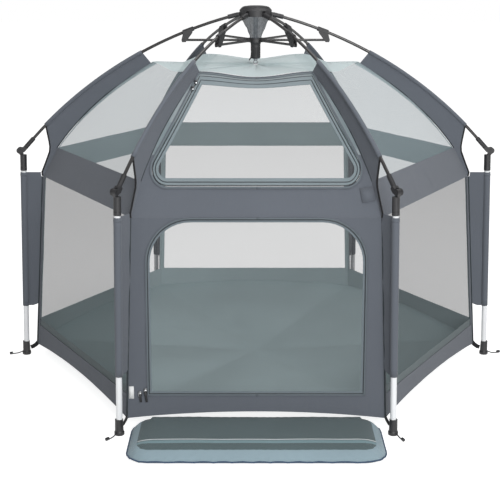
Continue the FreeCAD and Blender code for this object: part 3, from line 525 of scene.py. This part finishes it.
def strip(low, high, left, right, rows=8):
    """Outline between two functions of height: left and right distance from the corner."""
    zs = heights(low, high, rows)
    return [(left(z), z) for z in zs] + [(right(z), z) for z in reversed(zs)]


def door_edge(grow=0.0):
    """Half the door's outline from the middle of the sill to the middle of the top, as (x, z)."""
    half, low, high, r = DOOR_HALF + grow, DOOR_SILL - grow, DOOR_TOP + grow, DOOR_CORNER + grow
    points = [(0, low), (half, low), (half, high - r)]
    for i in range(1, 11):
        a = math.pi / 2 * i / 10
        points.append((half - r + r * math.cos(a), high - r + r * math.sin(a)))
    points.append((0, high))
    return points


def window_edge(grow=0.0):
    """Half the window's outline from the middle of its foot to the middle of its top, as (x, z)."""
    low, high = WINDOW_FOOT - grow, WINDOW_TOP + grow
    margin, r = WINDOW_MARGIN - grow, WINDOW_CORNER + grow
    lean = (ROOF[0] - BAND_TOP[0]) / (ROOF[1] - BAND_TOP[1])
    chord = lambda z: (BAND_TOP[0] + (z - BAND_TOP[1]) * lean) / 2
    foot = Vector((chord(low) - margin, low))
    head = Vector((chord(high) - margin, high))
    lean = math.atan2(head.y - foot.y, head.x - foot.x)
    centre = foot + Vector((-r / math.tan((math.pi - lean) / 2), r))
    points = [(0, low)]
    for i in range(11):
        a = -math.pi / 2 + lean * i / 10
        points.append((centre.x + r * math.cos(a), centre.y + r * math.sin(a)))
    points.append((head.x, head.y))
    points.append((0, high))
    return points


def from_corner(points):
    """Turns (x from the middle, z) into (u from the corner, z)."""
    return [(span(z) - x, z) for x, z in points]


def dense_pairs(points, step):
    return [(p.x, p.y) for p in dense([Vector(p) for p in points], step, closed=False)]


# ---------------------------------------------------------------- the cloth shell

WALL_LINE = ((HEM[0], HEM[1]), BAND_FOOT)
BAND_LINE = (BAND_FOOT, BAND_TOP)
DOME_LINE = (BAND_TOP, ROOF)
KEEP = 0.06


def gather(half, line):
    return "frame_fold", half.axis(*line), half.anchor(*line), KEEP


def hem_line(lift=0.0):
    """The arched lower edge of half a side, from the corner to the middle."""
    return [(u, hem_height(u) + lift) for u in [HEM[0] / 2 * i / 14 for i in range(15)]]


def hem_outline(top):
    return hem_line() + [(span(top), top), (0.0, top)]


def wall_cloth(half):
    """The sewn cloths of half a wall: label, outline and step."""
    if not half.front:
        edge = strip(HEM_BAND - 0.001, MESH_TOP, lambda z: 0.0, lambda z: EDGE_TAPE)
        return [("hem", hem_outline(HEM_BAND), 0.02), ("edge", edge, 0.02)]
    edge = door_edge()
    reach = edge[-2][0]
    side = from_corner(dense_pairs(edge[1:-1], 0.02))
    side += [(span(DOOR_TOP) - reach, WALL_TOP), (0.0, WALL_TOP)]
    side += [(0.0, z) for z in reversed(heights(DOOR_SILL, WALL_TOP - 0.03, 12))]
    head = [(span(DOOR_TOP) - reach, DOOR_TOP), (span(DOOR_TOP), DOOR_TOP), (span(WALL_TOP), WALL_TOP),
            (span(WALL_TOP) - reach, WALL_TOP)]
    return [("side", side, 0.022), ("head", head, 0.008), ("sill", hem_outline(DOOR_SILL), 0.022)]


def build_walls():
    for half in HALVES:
        leg = "leg_" + half.sector
        fold = gather(half, WALL_LINE)
        stands_for = ["wall_panel_" + half.sector]
        if not half.front:
            outline = strip(HEM_BAND - 0.01, MESH_TOP, lambda z: 0.004, span)
            obj = patch(f"wall_mesh_{half.name}", outline, half.below(0.0012), [MESH], sag=0.0015)
            place(obj, leg, None, fold, stands_for, "stretched")
        for label, outline, step in wall_cloth(half):
            replaces = stands_for if label == "side" else ()
            sewn_patch(f"wall_{label}_{half.name}", outline, half, step, leg, fold, replaces)
        top = DOOR_SILL - 0.004 if half.front else LINING_TOP
        outline = hem_line(0.0005) + [(span(top), top), (0.0, top)]
        obj = patch(f"wall_lining_{half.name}", outline, half.below(0.0028), [LINING], step=0.02)
        place(obj, leg, "teal_floor", fold, (), "stretched")


def build_front_band(half, arm, stands_for):
    """Half the band under the window, with the tape beside and above the window."""
    edge = window_edge()
    rise = edge[11][1] + 0.012
    outline = [(0.0, BAND_FOOT[1]), (span(BAND_FOOT[1]), BAND_FOOT[1]), (span(WINDOW_FOOT), WINDOW_FOOT)]
    outline += from_corner(dense_pairs(edge[:12], 0.02))[1:]
    outline += [(0.006, rise), (0.0, rise)]
    outline += [(0.0, z) for z in reversed(heights(BAND_FOOT[1] + 0.02, rise - 0.02, 5))]
    whole = gather(half, (BAND_FOOT, (dome_radius(rise), rise)))
    sewn_patch(f"band_{half.name}", outline, half, 0.022, arm, whole, stands_for, 0.0013)
    side = from_corner(dense_pairs(edge[11:13], 0.02)) + [(0.0, WINDOW_TOP)]
    side += [(0.0, z) for z in reversed(heights(rise - 0.006, WINDOW_TOP - 0.02, 8))]
    head = strip(WINDOW_TOP, ROOF[1], lambda z: 0.0, span, rows=1)
    for label, outline, step in (("tape", side, 0.014), ("head", head, 0.008)):
        obj = patch(f"window_{label}_{half.name}", outline, half.below(0.0012), [TAPE], step=step)
        place(obj, arm, "mesh", gather(half, DOME_LINE), (), "stretched")


def build_band_and_dome():
    for half in HALVES:
        arm = "arm_" + half.sector
        stands_for = ["dome_panel_" + half.sector]
        if half.front:
            build_front_band(half, arm, stands_for)
            continue
        outline = strip(BAND_FOOT[1], BAND_TOP[1], lambda z: 0.0, span, rows=4)
        band_fold = gather(half, BAND_LINE)
        sewn_patch(f"band_{half.name}", outline, half, 0.020, arm, band_fold, stands_for, 0.0013)
        dome_fold = gather(half, DOME_LINE)
        outline = strip(BAND_TOP[1], ROOF[1], lambda z: 0.003, span, rows=10)
        obj = patch(f"dome_mesh_{half.name}", outline, half.below(0.0012), [DOME], sag=0.0015)
        place(obj, arm, None, dome_fold, (), "stretched")
        wide = lambda z: 0.006 + 0.028 * dome_share(z) ** 1.5
        outline = strip(BAND_TOP[1], ROOF[1], lambda z: 0.0, wide, rows=10)
        obj = patch(f"dome_edge_{half.name}", outline, half.below(0.0022), [PALE], step=0.014)
        place(obj, arm, "sheer_roof", dome_fold, (), "stretched")


def roof_height(x, y):
    """Sheer roof: pulled up at the corners, slack along its edges, creased towards the hook."""
    radius = math.hypot(x, y)
    angle = math.degrees(math.atan2(y, x))
    off = abs((angle + 30) % 60 - 30) / 30
    apothem = ROOF[0] * FACE / math.cos(math.radians(30 * (1 - off)))
    share = min(1.0, radius / apothem)
    pull = ROOF_LIFT * math.cos(math.pi * off) * share
    crease = 0.0032 * math.cos(math.radians(angle) * 18) * (1 - share) * min(1, radius / 0.05)
    return ROOF[1] + pull + crease


def build_roof():
    """The roof in four radial strips for each half side."""
    parts, rows, cols, inner = 4, 16, 4, 0.011
    for half in HALVES:
        for part in range(parts):
            a0 = math.radians(30 * part / parts) * half.sign
            a1 = math.radians(30 * (part + 1) / parts) * half.sign
            verts, faces, uvs = [], [], []
            for i in range(rows + 1):
                for k in range(cols + 1):
                    a = a0 + (a1 - a0) * k / cols
                    edge = ROOF[0] * FACE / math.cos(math.radians(30) - abs(a))
                    r = inner + (edge - inner) * i / rows
                    x, y = r * math.cos(a), r * math.sin(a)
                    z = roof_height(x, y) + cloth_wave(Vector((x, y, 1)), 0.0006)
                    verts.append(turned((x, y, z), half.turn))
                    uvs.append((r, a * edge * 0.55))
            for i in range(rows):
                for k in range(cols):
                    v = i * (cols + 1) + k
                    faces.append((v, v + 1, v + cols + 2, v + cols + 1))
            obj = mesh_object(f"roof_{half.name}_{part}", verts, faces, [SHEER], uvs)
            middle = turned((math.cos((a0 + a1) / 2), math.sin((a0 + a1) / 2), 0), half.turn)
            stands_for = ["roof_centre"] if part == 0 and half.name == "right_a" else ()
            fold = ("frame_fold", middle, (0, 0, ROOF[1]), 0.06)
            place(obj, "hub", "sheer_roof", fold, stands_for, "gathered")


# ---------------------------------------------------------------- fins, sleeves and straps

POLE_END = KNEE - Vector((math.sin(POLE_SLOPE), 0, math.cos(POLE_SLOPE))) * POLE_OFFSET
POLE_CHORD = POLE_END - PIVOT
CHORD_SLOPE = math.atan2(-POLE_CHORD.z, POLE_CHORD.x)
POLE_ARC = POLE_CHORD.length / (2 * math.sin(POLE_SLOPE - CHORD_SLOPE))
SLOPE_START = 2 * CHORD_SLOPE - POLE_SLOPE
POLE_CENTRE = PIVOT - Vector((math.sin(SLOPE_START), 0, math.cos(SLOPE_START))) * POLE_ARC


def on_pole(slope, lift=0.0):
    return POLE_CENTRE + Vector((math.sin(slope), 0, math.cos(slope))) * (POLE_ARC + lift)


def pole_slope_at(radius):
    return math.asin((radius - POLE_CENTRE.x) / POLE_ARC)


LEG_TOP = KNEE - Vector((LEG_OFFSET, 0, 0))


def on_leg(height, offset=0.0):
    return Vector((LEG_TOP.x + (LEG_TOP.z - height) * math.tan(LEG_SPLAY) + offset, 0, height))


def radial_patch(name, outline, turn, ripple=0.0012, weave=0.0):
    """A slate fin in a sector's radial plane, gently rippled; its weave runs at an angle."""
    flat, faces = filled(outline, 0.018)
    lean = Matrix.Rotation(weave, 2)
    points = []
    for q in flat:
        slow = noise.noise(Vector((q.x * 14, q.y * 14, turn)))
        fine = noise.noise(Vector((q.x * 40, q.y * 40, turn)))
        points.append(turned((q.x, ripple * (slow + 0.4 * fine), q.y), turn))
    obj = mesh_object(name, points, faces, [SLATE], uvs=[tuple(lean @ q) for q in flat])
    thicken(obj, FIN_CLOTH, offset=0.0)
    obj["closed"] = True
    return obj


NOTCH_OUTER = [Vector((0.603, 0, 0.657)), Vector((0.6015, 0, 0.642)), Vector((0.603, 0, 0.627))]
NOTCH_FOOT = [Vector((0.615, 0, 0.597)), Vector((0.628, 0, 0.566)), Vector((0.6265, 0, 0.5545))]


def corner_line(radius_at, low, high, lift, count):
    """Points along the corner of the cloth between two heights."""
    return [Vector((radius_at(z) + lift, 0, z)) for z in heights(low, high, count)]


def along_pole(count):
    """Points on the pole's axis under its sleeve."""
    start, end = pole_slope_at(FIN_START), pole_slope_at(FIN_END)
    return [on_pole(start + (end - start) * i / count) for i in range(count + 1)]


def flat_pairs(points):
    return [(p.x, p.z) for p in points]


def arm_fin_outline():
    band = corner_line(band_radius, BAND_FOOT[1] + 0.002, BAND_TOP[1] - 0.004, -0.003, 5)
    dome = corner_line(dome_radius, BAND_TOP[1], ROOF[1], -0.0015, 10)
    return flat_pairs(along_pole(12) + NOTCH_OUTER + NOTCH_FOOT + band + dome)


def leg_fin_outline():
    seam = wall_radius(LEG_FIN_SEAM)
    foot = wall_radius(LEG_FIN_FOOT)
    outline = flat_pairs(corner_line(wall_radius, LEG_FIN_FOOT + 0.012, LEG_FIN_SEAM, -0.0015, 6))
    outline += [(seam + 0.005, LEG_FIN_SEAM + 0.0005), (seam + 0.006, LEG_FIN_TOP)]
    outline += [(on_leg(LEG_FIN_TOP).x, LEG_FIN_TOP), (on_leg(LEG_FIN_FOOT).x, LEG_FIN_FOOT)]
    outline += [(foot + 0.018, LEG_FIN_FOOT), (foot + 0.006, LEG_FIN_FOOT + 0.004)]
    return outline


def foot_strap():
    """Webbing from the corner of the hem down to the boot."""
    start, end = Vector((HEM[0] - 0.001, 0, HEM[1] + 0.006)), on_leg(0.022, -0.0124)
    sag = Vector((0, 0, -0.003))
    return [start, start.lerp(end, 0.3) + sag, start.lerp(end, 0.7) + sag, end]


def build_fins():
    sleeve = TUBE_RADIUS + SLEEVE
    notch = dense([on_pole(pole_slope_at(FIN_END)), *NOTCH_OUTER, *NOTCH_FOOT], 0.012, closed=False)
    leg_sleeve = [on_leg(LEG_FIN_FOOT + (LEG_FIN_TOP - LEG_FIN_FOOT) * i / 20) for i in range(21)]
    hem = [on_leg(LEG_FIN_TOP - 0.010 + 0.0025 * i) for i in range(3)]
    collar = [on_leg(COLLAR + 0.0025 * i) for i in range(5)]
    wall_corner = corner_line(wall_radius, HEM[1] + 0.004, LEG_FIN_SEAM, 0.0016, 16)
    dome_corner = corner_line(dome_radius, BAND_TOP[1], ROOF[1], 0.0008, 16)
    tubes = (
        ("leg_sleeve", "leg_", leg_sleeve, sleeve, SLATE, 16, "slate_cloth"),
        ("sleeve_hem", "leg_", hem, sleeve + 0.0006, SLATE, 16, "slate_cloth"),
        ("knuckle_collar", "leg_", collar, sleeve, PLASTIC, 20, "black_plastic"),
        ("notch_binding", "arm_", notch, 0.0026, WEB, 8, "slate_cloth"),
        ("corner_piping", "leg_", wall_corner, 0.0022, PIPING, 8, "slate_cloth"),
        ("dome_piping", "arm_", dome_corner, 0.0019, PIPING, 8, "slate_cloth"),
    )
    for sector, turn in SECTORS.items():
        arm, leg = "arm_" + sector, "leg_" + sector
        fin = radial_patch(f"arm_fin_{sector}", arm_fin_outline(), turn, weave=math.radians(42))
        place(fin, arm, "slate_cloth", None, (), "stretched")
        points = [turned(p, turn) for p in along_pole(24)]
        obj = tube(f"arm_sleeve_{sector}", points, POLE_RADIUS + SLEEVE, SLATE, sides=14)
        place(obj, arm, "slate_cloth")
        fin = radial_patch(f"leg_fin_{sector}", leg_fin_outline(), turn, ripple=0.0018)
        place(fin, leg, "slate_cloth", None, (), "stretched")
        for label, body, line, radius, mat, sides, slot in tubes:
            obj = tube(f"{label}_{sector}", [turned(p, turn) for p in line], radius, mat, sides=sides)
            place(obj, body + sector, slot)
        points = [turned(p, turn) for p in foot_strap()]
        obj = tube(f"foot_strap_{sector}", points, 0.0062, WEB, flat=0.16, up=turned((0, 1, 0), turn))
        place(obj, leg, "black_plastic")


def build_peg_cords():
    """Short cords at the boots for ground pegs, each with a knob at its end."""
    for i, (sector, turn) in enumerate(SECTORS.items()):
        start = on_leg(0.009, BOOT_RADIUS - 0.0015)
        bend = 0.007 * math.cos(2.1 * i)
        line = []
        for k in range(7):
            t = k / 6
            drop = 0.0065 * math.sin(math.pi / 2 * min(1.0, 1.6 * t))
            line.append(turned(start + Vector((PEG_REACH * t, bend * t * t, -drop)), turn))
        cord = tube(f"peg_cord_{sector}", line, PEG_CORD, WEB, sides=10)
        place(cord, "leg_" + sector, "black_plastic")
        along = (line[-1] - line[-2]).normalized()
        middle = line[-1] + along * 0.001 + Vector((0, 0, 0.0022))
        ends = [middle + along * reach for reach in (-0.0045, -0.003, 0.003, 0.0045)]
        knob = tube(f"peg_knob_{sector}", ends, PEG_KNOB, PLASTIC, sides=12)
        place(knob, "leg_" + sector, "black_plastic")


# ---------------------------------------------------------------- floor cloth

def floor_point(s, t, corner, middle, turn):
    """A point of the floor cloth, s out from the centre and t from the corner to the side's middle."""
    p = Vector((0, 0, FLOOR_CENTRE)).lerp(corner.lerp(middle, t), s)
    if 0 < t < 1:
        p.z += HEM_ARCH * s * ((1 - (1 - t) ** 2) - t) * 0.9
    q = turned(p, turn)
    q.z += 0.0022 * noise.noise(Vector((q.x * 9, q.y * 9, 2))) * min(1, 3 * (1 - s)) * min(1, 4 * s)
    q.z += 0.0011 * noise.noise(Vector((q.x * 12, q.y * 30, 5))) * min(1, 3 * (1 - s))
    return q, (p.x, p.y)


def build_floor():
    rings = 16
    corner_z = HEM[1] + FLOOR_RISE
    side_z = corner_z + HEM_ARCH
    corner = Vector((wall_radius(corner_z) - 0.0030, 0, corner_z))
    reach = (wall_radius(side_z) - 0.0028) * FACE
    for sector, turn in SECTORS.items():
        verts, faces, uvs = [], [], []
        for sign in (1, -1):
            middle = Vector((reach * FACE, sign * reach * 0.5, side_z))
            index = {}
            for i in range(rings + 1):
                for k in range(i + 1):
                    point, flat = floor_point(i / rings, k / i if i else 0.0, corner, middle, turn)
                    index[i, k] = len(verts)
                    verts.append(point)
                    uvs.append(flat)
            for i in range(rings):
                for k in range(i + 1):
                    tri = (index[i, k], index[i + 1, k], index[i + 1, k + 1])
                    faces.append(tri if sign > 0 else tri[::-1])
                    if k < i:
                        tri = (index[i, k], index[i + 1, k + 1], index[i, k + 1])
                        faces.append(tri if sign > 0 else tri[::-1])
        obj = mesh_object(f"floor_cloth_{sector}", verts, faces, [FLOOR], uvs)
        bm = bmesh.new()
        bm.from_mesh(obj.data)
        bmesh.ops.remove_doubles(bm, verts=bm.verts, dist=1e-5)
        bmesh.ops.recalc_face_normals(bm, faces=bm.faces)
        bm.to_mesh(obj.data)
        bm.free()
        fold = ("frame_fold", turned((0, 1, 0), turn), turned((0, 0, 0), turn), KEEP)
        place(obj, "floor_" + sector, "teal_floor", fold, ["floor_panel_" + sector], "stretched")


# ---------------------------------------------------------------- door and window

FRONT = Half("front_left", 1)


def front_point(x, z, lift=0.0):
    """A point on the front side, x from its middle."""
    return FRONT.point(span(z) + x, z, lift)


def mirrored(edge):
    """A whole outline from half of one."""
    return [(x, z) for x, z in edge] + [(-x, z) for x, z in reversed(edge[1:-1])]


def ring_tube(name, edge, lift, radius, material):
    outline = mirrored(edge)
    points = [front_point(x, z, lift) for x, z in dense_pairs(outline + [outline[0]], 0.012)]
    return tube(name, points[:-1], radius, material, closed=True)


def ring_band(name, inner, outer, lift, material, fine=6):
    """A flat band of cloth between two outlines with matching points."""
    rings = (mirrored(inner), mirrored(outer))
    count = len(rings[0])
    verts, uvs = [], []
    for i in range(count):
        for k in range(fine):
            for ring in rings:
                p = Vector(ring[i]).lerp(Vector(ring[(i + 1) % count]), k / fine)
                verts.append(front_point(p.x, p.y, lift))
                uvs.append(tuple(p))
    faces = []
    for i in range(count * fine):
        j = (i + 1) % (count * fine)
        faces.append((2 * i, 2 * i + 1, 2 * j + 1, 2 * j))
    return thicken(mesh_object(name, verts, faces, [material], uvs), 0.0012, offset=0.0)


OPENINGS = (
    ("door", door_edge, "leg_", WALL_LINE, DOOR_TAPE, 0.0060, (0.0,)),
    ("window", window_edge, "arm_", DOME_LINE, TAPE, 0.0190, (0.002, 0.010)),
)


def build_openings():
    for label, edge_of, _, line, tape, wide, coils in OPENINGS:
        fold = ("frame_fold", FRONT.axis(*line), FRONT.anchor(*line), 0.05)
        panel = patch(f"{label}_mesh", mirrored(edge_of(0.0005 - wide)),
                      lambda x, z, lift: front_point(x, z, lift - 0.0012), [CLEAR], step=0.03)
        place(panel, label, "mesh", fold, [label + "_panel"], "stretched")
        band = ring_band(f"{label}_tape", edge_of(-wide), edge_of(-0.0012), 0.0004, tape)
        place(band, label, "mesh", fold)
        for i, inset in enumerate(coils):
            coil = ring_tube(f"{label}_zip_{i}", edge_of(-inset), 0.0006, 0.0013, ZIP)
            place(coil, label, "mesh", fold)
    trims = (("piping", 0.0034, 0.0016, DOOR_TAPE), ("rim", 0.0062, 0.0012, SLATE))
    for half in (Half("front_left", 1), Half("front_right", -1)):
        for label, edge_of, body, line, *_ in OPENINGS:
            for part, grow, radius, mat in trims:
                points = [half.point(span(z) - x, z, 0.0010) for x, z in dense_pairs(edge_of(grow), 0.012)]
                obj = tube(f"{label}_{part}_{half.name}", points, radius, mat)
                place(obj, body + half.sector, "slate_cloth", gather(half, line))


def block(name, size, centre, axes, material, bevel=0.0006):
    """A small bevelled block with its own axes."""
    mesh = bpy.data.meshes.new(name)
    bm = bmesh.new()
    bmesh.ops.create_cube(bm, size=1.0)
    bmesh.ops.scale(bm, vec=size, verts=bm.verts)
    bmesh.ops.bevel(bm, geom=bm.edges[:], offset=bevel, segments=2, affect="EDGES")
    basis = Matrix((axes[0], axes[1], axes[2])).transposed()
    for v in bm.verts:
        v.co = basis @ v.co + Vector(centre)
    bm.to_mesh(mesh)
    bm.free()
    mesh.materials.append(material)
    mesh.polygons.foreach_set("use_smooth", [True] * len(mesh.polygons))
    obj = bpy.data.objects.new(name, mesh)
    bpy.context.scene.collection.objects.link(obj)
    return obj


def build_sliders():
    """Zip sliders with their pulls, the plain tag and the small tab on the band."""
    right = Vector((1, 0, 0))
    spots = (("door", -DOOR_HALF - 0.010, 0.106, 0.030), ("door", -DOOR_HALF - 0.024, 0.098, 0.022),
             ("window", -0.158, 0.856, 0.026), ("window", -0.166, 0.843, 0.024))
    for i, (body, x, z, drop) in enumerate(spots):
        up = (front_point(x, z + 0.01) - front_point(x, z - 0.01)).normalized()
        out = right.cross(up) * -1
        if out.y > 0:
            out = -out
        axes = (right, up, out)
        head = block(f"{body}_slider_{i}", (0.009, 0.013, 0.004), front_point(x, z, 0.0035), axes, PULL)
        place(head, body, "steel")
        low = front_point(x, z, 0.0065)
        down = Vector((0.10, 0, -1)).normalized()
        points = [low + down * (drop * k / 5) + out * (0.001 * math.sin(k)) for k in range(6)]
        pull = tube(f"{body}_pull_{i}", points, 0.0028, PLASTIC, sides=8, flat=0.5, up=out)
        place(pull, body, "black_plastic")
    z = 0.101
    up = (front_point(0, z + 0.01) - front_point(0, z - 0.01)).normalized()
    out = Vector((0, -1, 0.07)).normalized()
    centre = FRONT.point(0.0095, z, 0.0012)
    tag = block("side_tag", (0.013, 0.033, 0.0012), centre, (right, up, out), LABEL, 0.0004)
    place(tag, "leg_front_left", "slate_cloth")
    z = 0.608
    half = Half("front_right", -1)
    up = (half.point(0.03, z + 0.004) - half.point(0.03, z - 0.004)).normalized()
    tilt = (right + up * 0.16).normalized()
    up = (up - tilt * up.dot(tilt)).normalized()
    out = tilt.cross(up)
    centre = half.point(0.020, z, 0.0020)
    tab = block("band_tab", (0.034, 0.038, 0.0022), centre, (tilt, up, out), SLATE, 0.0008)
    place(tab, "arm_front_right", "slate_cloth")


# ---------------------------------------------------------------- hub cloth and spring

def build_guard():
    """Crumpled funnel of thin cloth between the crown and the runner."""
    low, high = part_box("guard_cone")
    rows, cols = 18, 72
    verts, faces = [], []
    for i in range(rows + 1):
        s = i / rows
        z = low.z + (high.z - low.z) * s
        radius = 0.0164 + (high.x - 0.0004 - 0.0164) * s ** 1.15
        for k in range(cols):
            a = 2 * math.pi * k / cols
            p = Vector((math.cos(a) * 2.4, math.sin(a) * 2.4, s * 2.2))
            fold = 0.0021 * math.sin(a * 9 + 2.2 * math.sin(s * 5))
            r = radius + (fold + 0.0035 * noise.noise(p * 1.7) - 0.003) * math.sin(math.pi * s)
            verts.append((r * math.cos(a), r * math.sin(a), z))
    for i in range(rows):
        for k in range(cols):
            m = (k + 1) % cols
            faces.append((i * cols + k, i * cols + m, (i + 1) * cols + m, (i + 1) * cols + k))
    obj = mesh_object("guard_cloth", verts, faces, [GUARD])
    place(obj, "hub", "grey_sheer", ("runner_slide", (0, 0, 1), (0, 0, high.z), 0.05), ["guard_cone"])
    spring = bpy.data.objects.new("spring_coil", NODES["opening_spring"].data.copy())
    bpy.context.scene.collection.objects.link(spring)
    spring.data.materials.clear()
    spring.data.materials.append(STEEL)
    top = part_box("opening_spring")[1].z
    place(spring, "hub", "steel", ("runner_slide", (0, 0, 1), (0, 0, top), 0.12), ["opening_spring"])


# ---------------------------------------------------------------- door mat

def mat_rounded(half, px, py, inset):
    """Pushes a grid point of the square into the mat's rounded outline."""
    x, y = px * (half.x - inset), py * (half.y - inset)
    cx, cy = half.x - inset - MAT_CORNER, half.y - inset - MAT_CORNER
    ax, ay = abs(x), abs(y)
    if ax > cx and ay > cy:
        dx, dy = ax - cx, ay - cy
        big = max(dx, dy)
        length = math.hypot(dx, dy)
        if length > 1e-9:
            ax, ay = cx + dx * big / length, cy + dy * big / length
    return math.copysign(ax, x), math.copysign(ay, y)


def from_mat_edge(half, x, y):
    """Distance in from the mat's rounded outline."""
    dx = abs(x) - (half.x - MAT_INSET - MAT_CORNER)
    dy = abs(y) - (half.y - MAT_INSET - MAT_CORNER)
    if dx > 0 and dy > 0:
        return MAT_INSET + MAT_CORNER - math.hypot(dx, dy)
    return min(half.x - abs(x), half.y - abs(y))


def mat_height(half, thick, x, y, side):
    """Height over the mat's foot: puffed and puckered on top, nearly flat below."""
    near = from_mat_edge(half, x, y)
    if side < 0:
        return MAT_SEAM - 0.0098 * (1 - math.exp(-max(0.0, near - 0.002) / 0.008))
    fall = 0.011 if half.y - y < near + 0.001 else 0.018
    puff = 1 - math.exp(-max(0.0, near - MAT_INSET) / fall)
    around = math.atan2(y / half.y, x / half.x)
    pucker = noise.noise(Vector((x * 60, y * 60, 3))) * 0.0016
    pucker += 0.0013 * math.sin(around * 85 + 4 * noise.noise(Vector((x * 9, y * 9, 1))))
    z = MAT_SEAM + (thick - 0.011) * puff + pucker * math.exp(-near / 0.016) * min(1, near / 0.004)
    return z + 0.0012 * noise.noise(Vector((x * 10, y * 14, 7))) * puff


def mat_colour(near, ahead):
    """Material index on top of the mat: rim, ribbon and white line round and across the field."""
    if near < MAT_RIM_WIDTH:
        return 1
    if 0.050 < ahead < 0.064:
        return 2
    return 3 if 0.067 < ahead < 0.0705 else 0


def build_mat():
    low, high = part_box("door_mat")
    high.y += MAT_TUCK
    centre = (low + high) / 2
    half = (high - low) / 2
    cols, rows = 104, 72
    verts, faces = [], []
    for side in (1, -1):
        base = len(verts)
        for j in range(rows + 1):
            for i in range(cols + 1):
                px, py = -1 + 2 * i / cols, -1 + 2 * j / rows
                px = math.sin(px * math.pi / 2) * 0.25 + px * 0.75
                py = math.sin(py * math.pi / 2) * 0.35 + py * 0.65
                x, y = mat_rounded(half, px, py, MAT_INSET)
                z = low.z + mat_height(half, high.z - low.z, x, y, side)
                verts.append(Vector((centre.x + x, centre.y + y, z)))
        for j in range(rows):
            for i in range(cols):
                a = base + j * (cols + 1) + i
                quad = (a, a + 1, a + cols + 2, a + cols + 1)
                faces.append(quad if side > 0 else quad[::-1])
    pad = mesh_object("door_mat_pad", verts, faces, [MAT_TOP, MAT_RIM, STRIPE, WHITE_LINE])
    bm = bmesh.new()
    bm.from_mesh(pad.data)
    bmesh.ops.remove_doubles(bm, verts=bm.verts, dist=1e-5)
    for f in bm.faces:
        c = f.calc_center_median()
        near = from_mat_edge(half, c.x - centre.x, c.y - centre.y)
        f.material_index = mat_colour(near, c.y - low.y) if c.z > low.z + 0.009 else 0
        f.smooth = True
    bm.to_mesh(pad.data)
    bm.free()
    place(pad, "mat", "teal_mat", None, ["door_mat"])
    rim = []
    count = 150
    for k in range(count):
        a = 2 * math.pi * k / count
        px, py = math.cos(a), math.sin(a)
        big = max(abs(px), abs(py))
        x, y = mat_rounded(half, px / big, py / big, 0.0022)
        rim.append((centre.x + x, centre.y + y, low.z + MAT_SEAM + 0.0010 * math.sin(k * 1.9)))
    edge = tube("door_mat_edge", rim, 0.0021, MAT_EDGE, closed=True)
    place(edge, "mat", "teal_mat")


# ---------------------------------------------------------------- carried-over CAD nodes

def dress_nodes():
    looks = (
        (("arm_pole", "strut"), POLE), (("leg_tube",), TUBE), (("hub_pins", "centre_post"), STEEL),
        (("crown", "hub_cap", "runner", "release_lever", "arm_fittings", "leg_fittings"), PLASTIC),
    )
    for name, obj in NODES.items():
        for starts, mat in looks:
            if name.startswith(starts):
                obj.data.materials.clear()
                obj.data.materials.append(mat)
                break


# ---------------------------------------------------------------- studio

def seen_by(tree, other):
    """One for the camera's rays and for one other kind of ray, else nought."""
    path = node(tree, "ShaderNodeLightPath")
    seen = node(tree, "ShaderNodeMath", {"operation": "MAXIMUM"})
    wire(path.outputs["Is Camera Ray"], seen, 0)
    wire(path.outputs[other], seen, 1)
    return seen.outputs[0]


def build_studio():
    mat, tree, bsdf = new_material("studio_floor")
    fill_in(bsdf, Base_Color=(0.60, 0.60, 0.60, 1), Roughness=0.9, Specular_IOR_Level=0.0,
            Emission_Color=(1, 1, 1, 1))
    glow = node(tree, "ShaderNodeMath", {"operation": "MULTIPLY"})
    wire(seen_by(tree, "Is Glossy Ray"), glow, 0)
    glow.inputs[1].default_value = 0.82
    wire(glow.outputs[0], bsdf, "Emission Strength")
    corners = [(-14, -9, 0), (14, -9, 0), (14, 16, 0), (-14, 16, 0)]
    floor = mesh_object("studio_floor", corners, [(0, 1, 2, 3)], [mat])
    floor.location.z = -0.0005
    world = bpy.data.worlds.new("studio")
    bpy.context.scene.world = world
    world.use_nodes = True
    tree = world.node_tree
    back = tree.nodes["Background"]
    strength = node(tree, "ShaderNodeMapRange", None, To_Min=0.38, To_Max=1.0)
    wire(seen_by(tree, "Is Transmission Ray"), strength, "Value")
    wire(strength.outputs[0], back, "Strength")
    fill_in(back, Color=(1, 1, 1, 1))
    for name, place_at, power, size in (
        ("key", (1.1, -4.4, 1.9), 150, 2.2),
        ("fill", (-2.6, -2.8, 1.6), 5, 2.4),
        ("top", (0.5, 0.0, 3.4), 52, 2.6),
    ):
        data = bpy.data.lights.new(name, "AREA")
        data.energy = power
        data.size = size
        lamp = bpy.data.objects.new(name, data)
        lamp.location = place_at
        lamp.rotation_euler = (Vector((0, 0, 0.5)) - Vector(place_at)).to_track_quat("-Z", "Y").to_euler()
        bpy.context.scene.collection.objects.link(lamp)


def build_camera():
    data = bpy.data.cameras.new("camera")
    data.sensor_width = 36.0
    data.lens = 83.02
    camera = bpy.data.objects.new("camera", data)
    camera.location = (-0.016, -3.342, 1.208)
    camera.rotation_euler = (math.radians(90 - 14.74), 0, 0)
    bpy.context.scene.collection.objects.link(camera)
    bpy.context.scene.camera = camera


build_camera()
build_studio()
bpy.context.scene.view_settings.view_transform = "Standard"
dress_nodes()
build_walls()
build_band_and_dome()
build_roof()
build_fins()
build_peg_cords()
build_floor()
build_openings()
build_sliders()
build_guard()
build_mat()
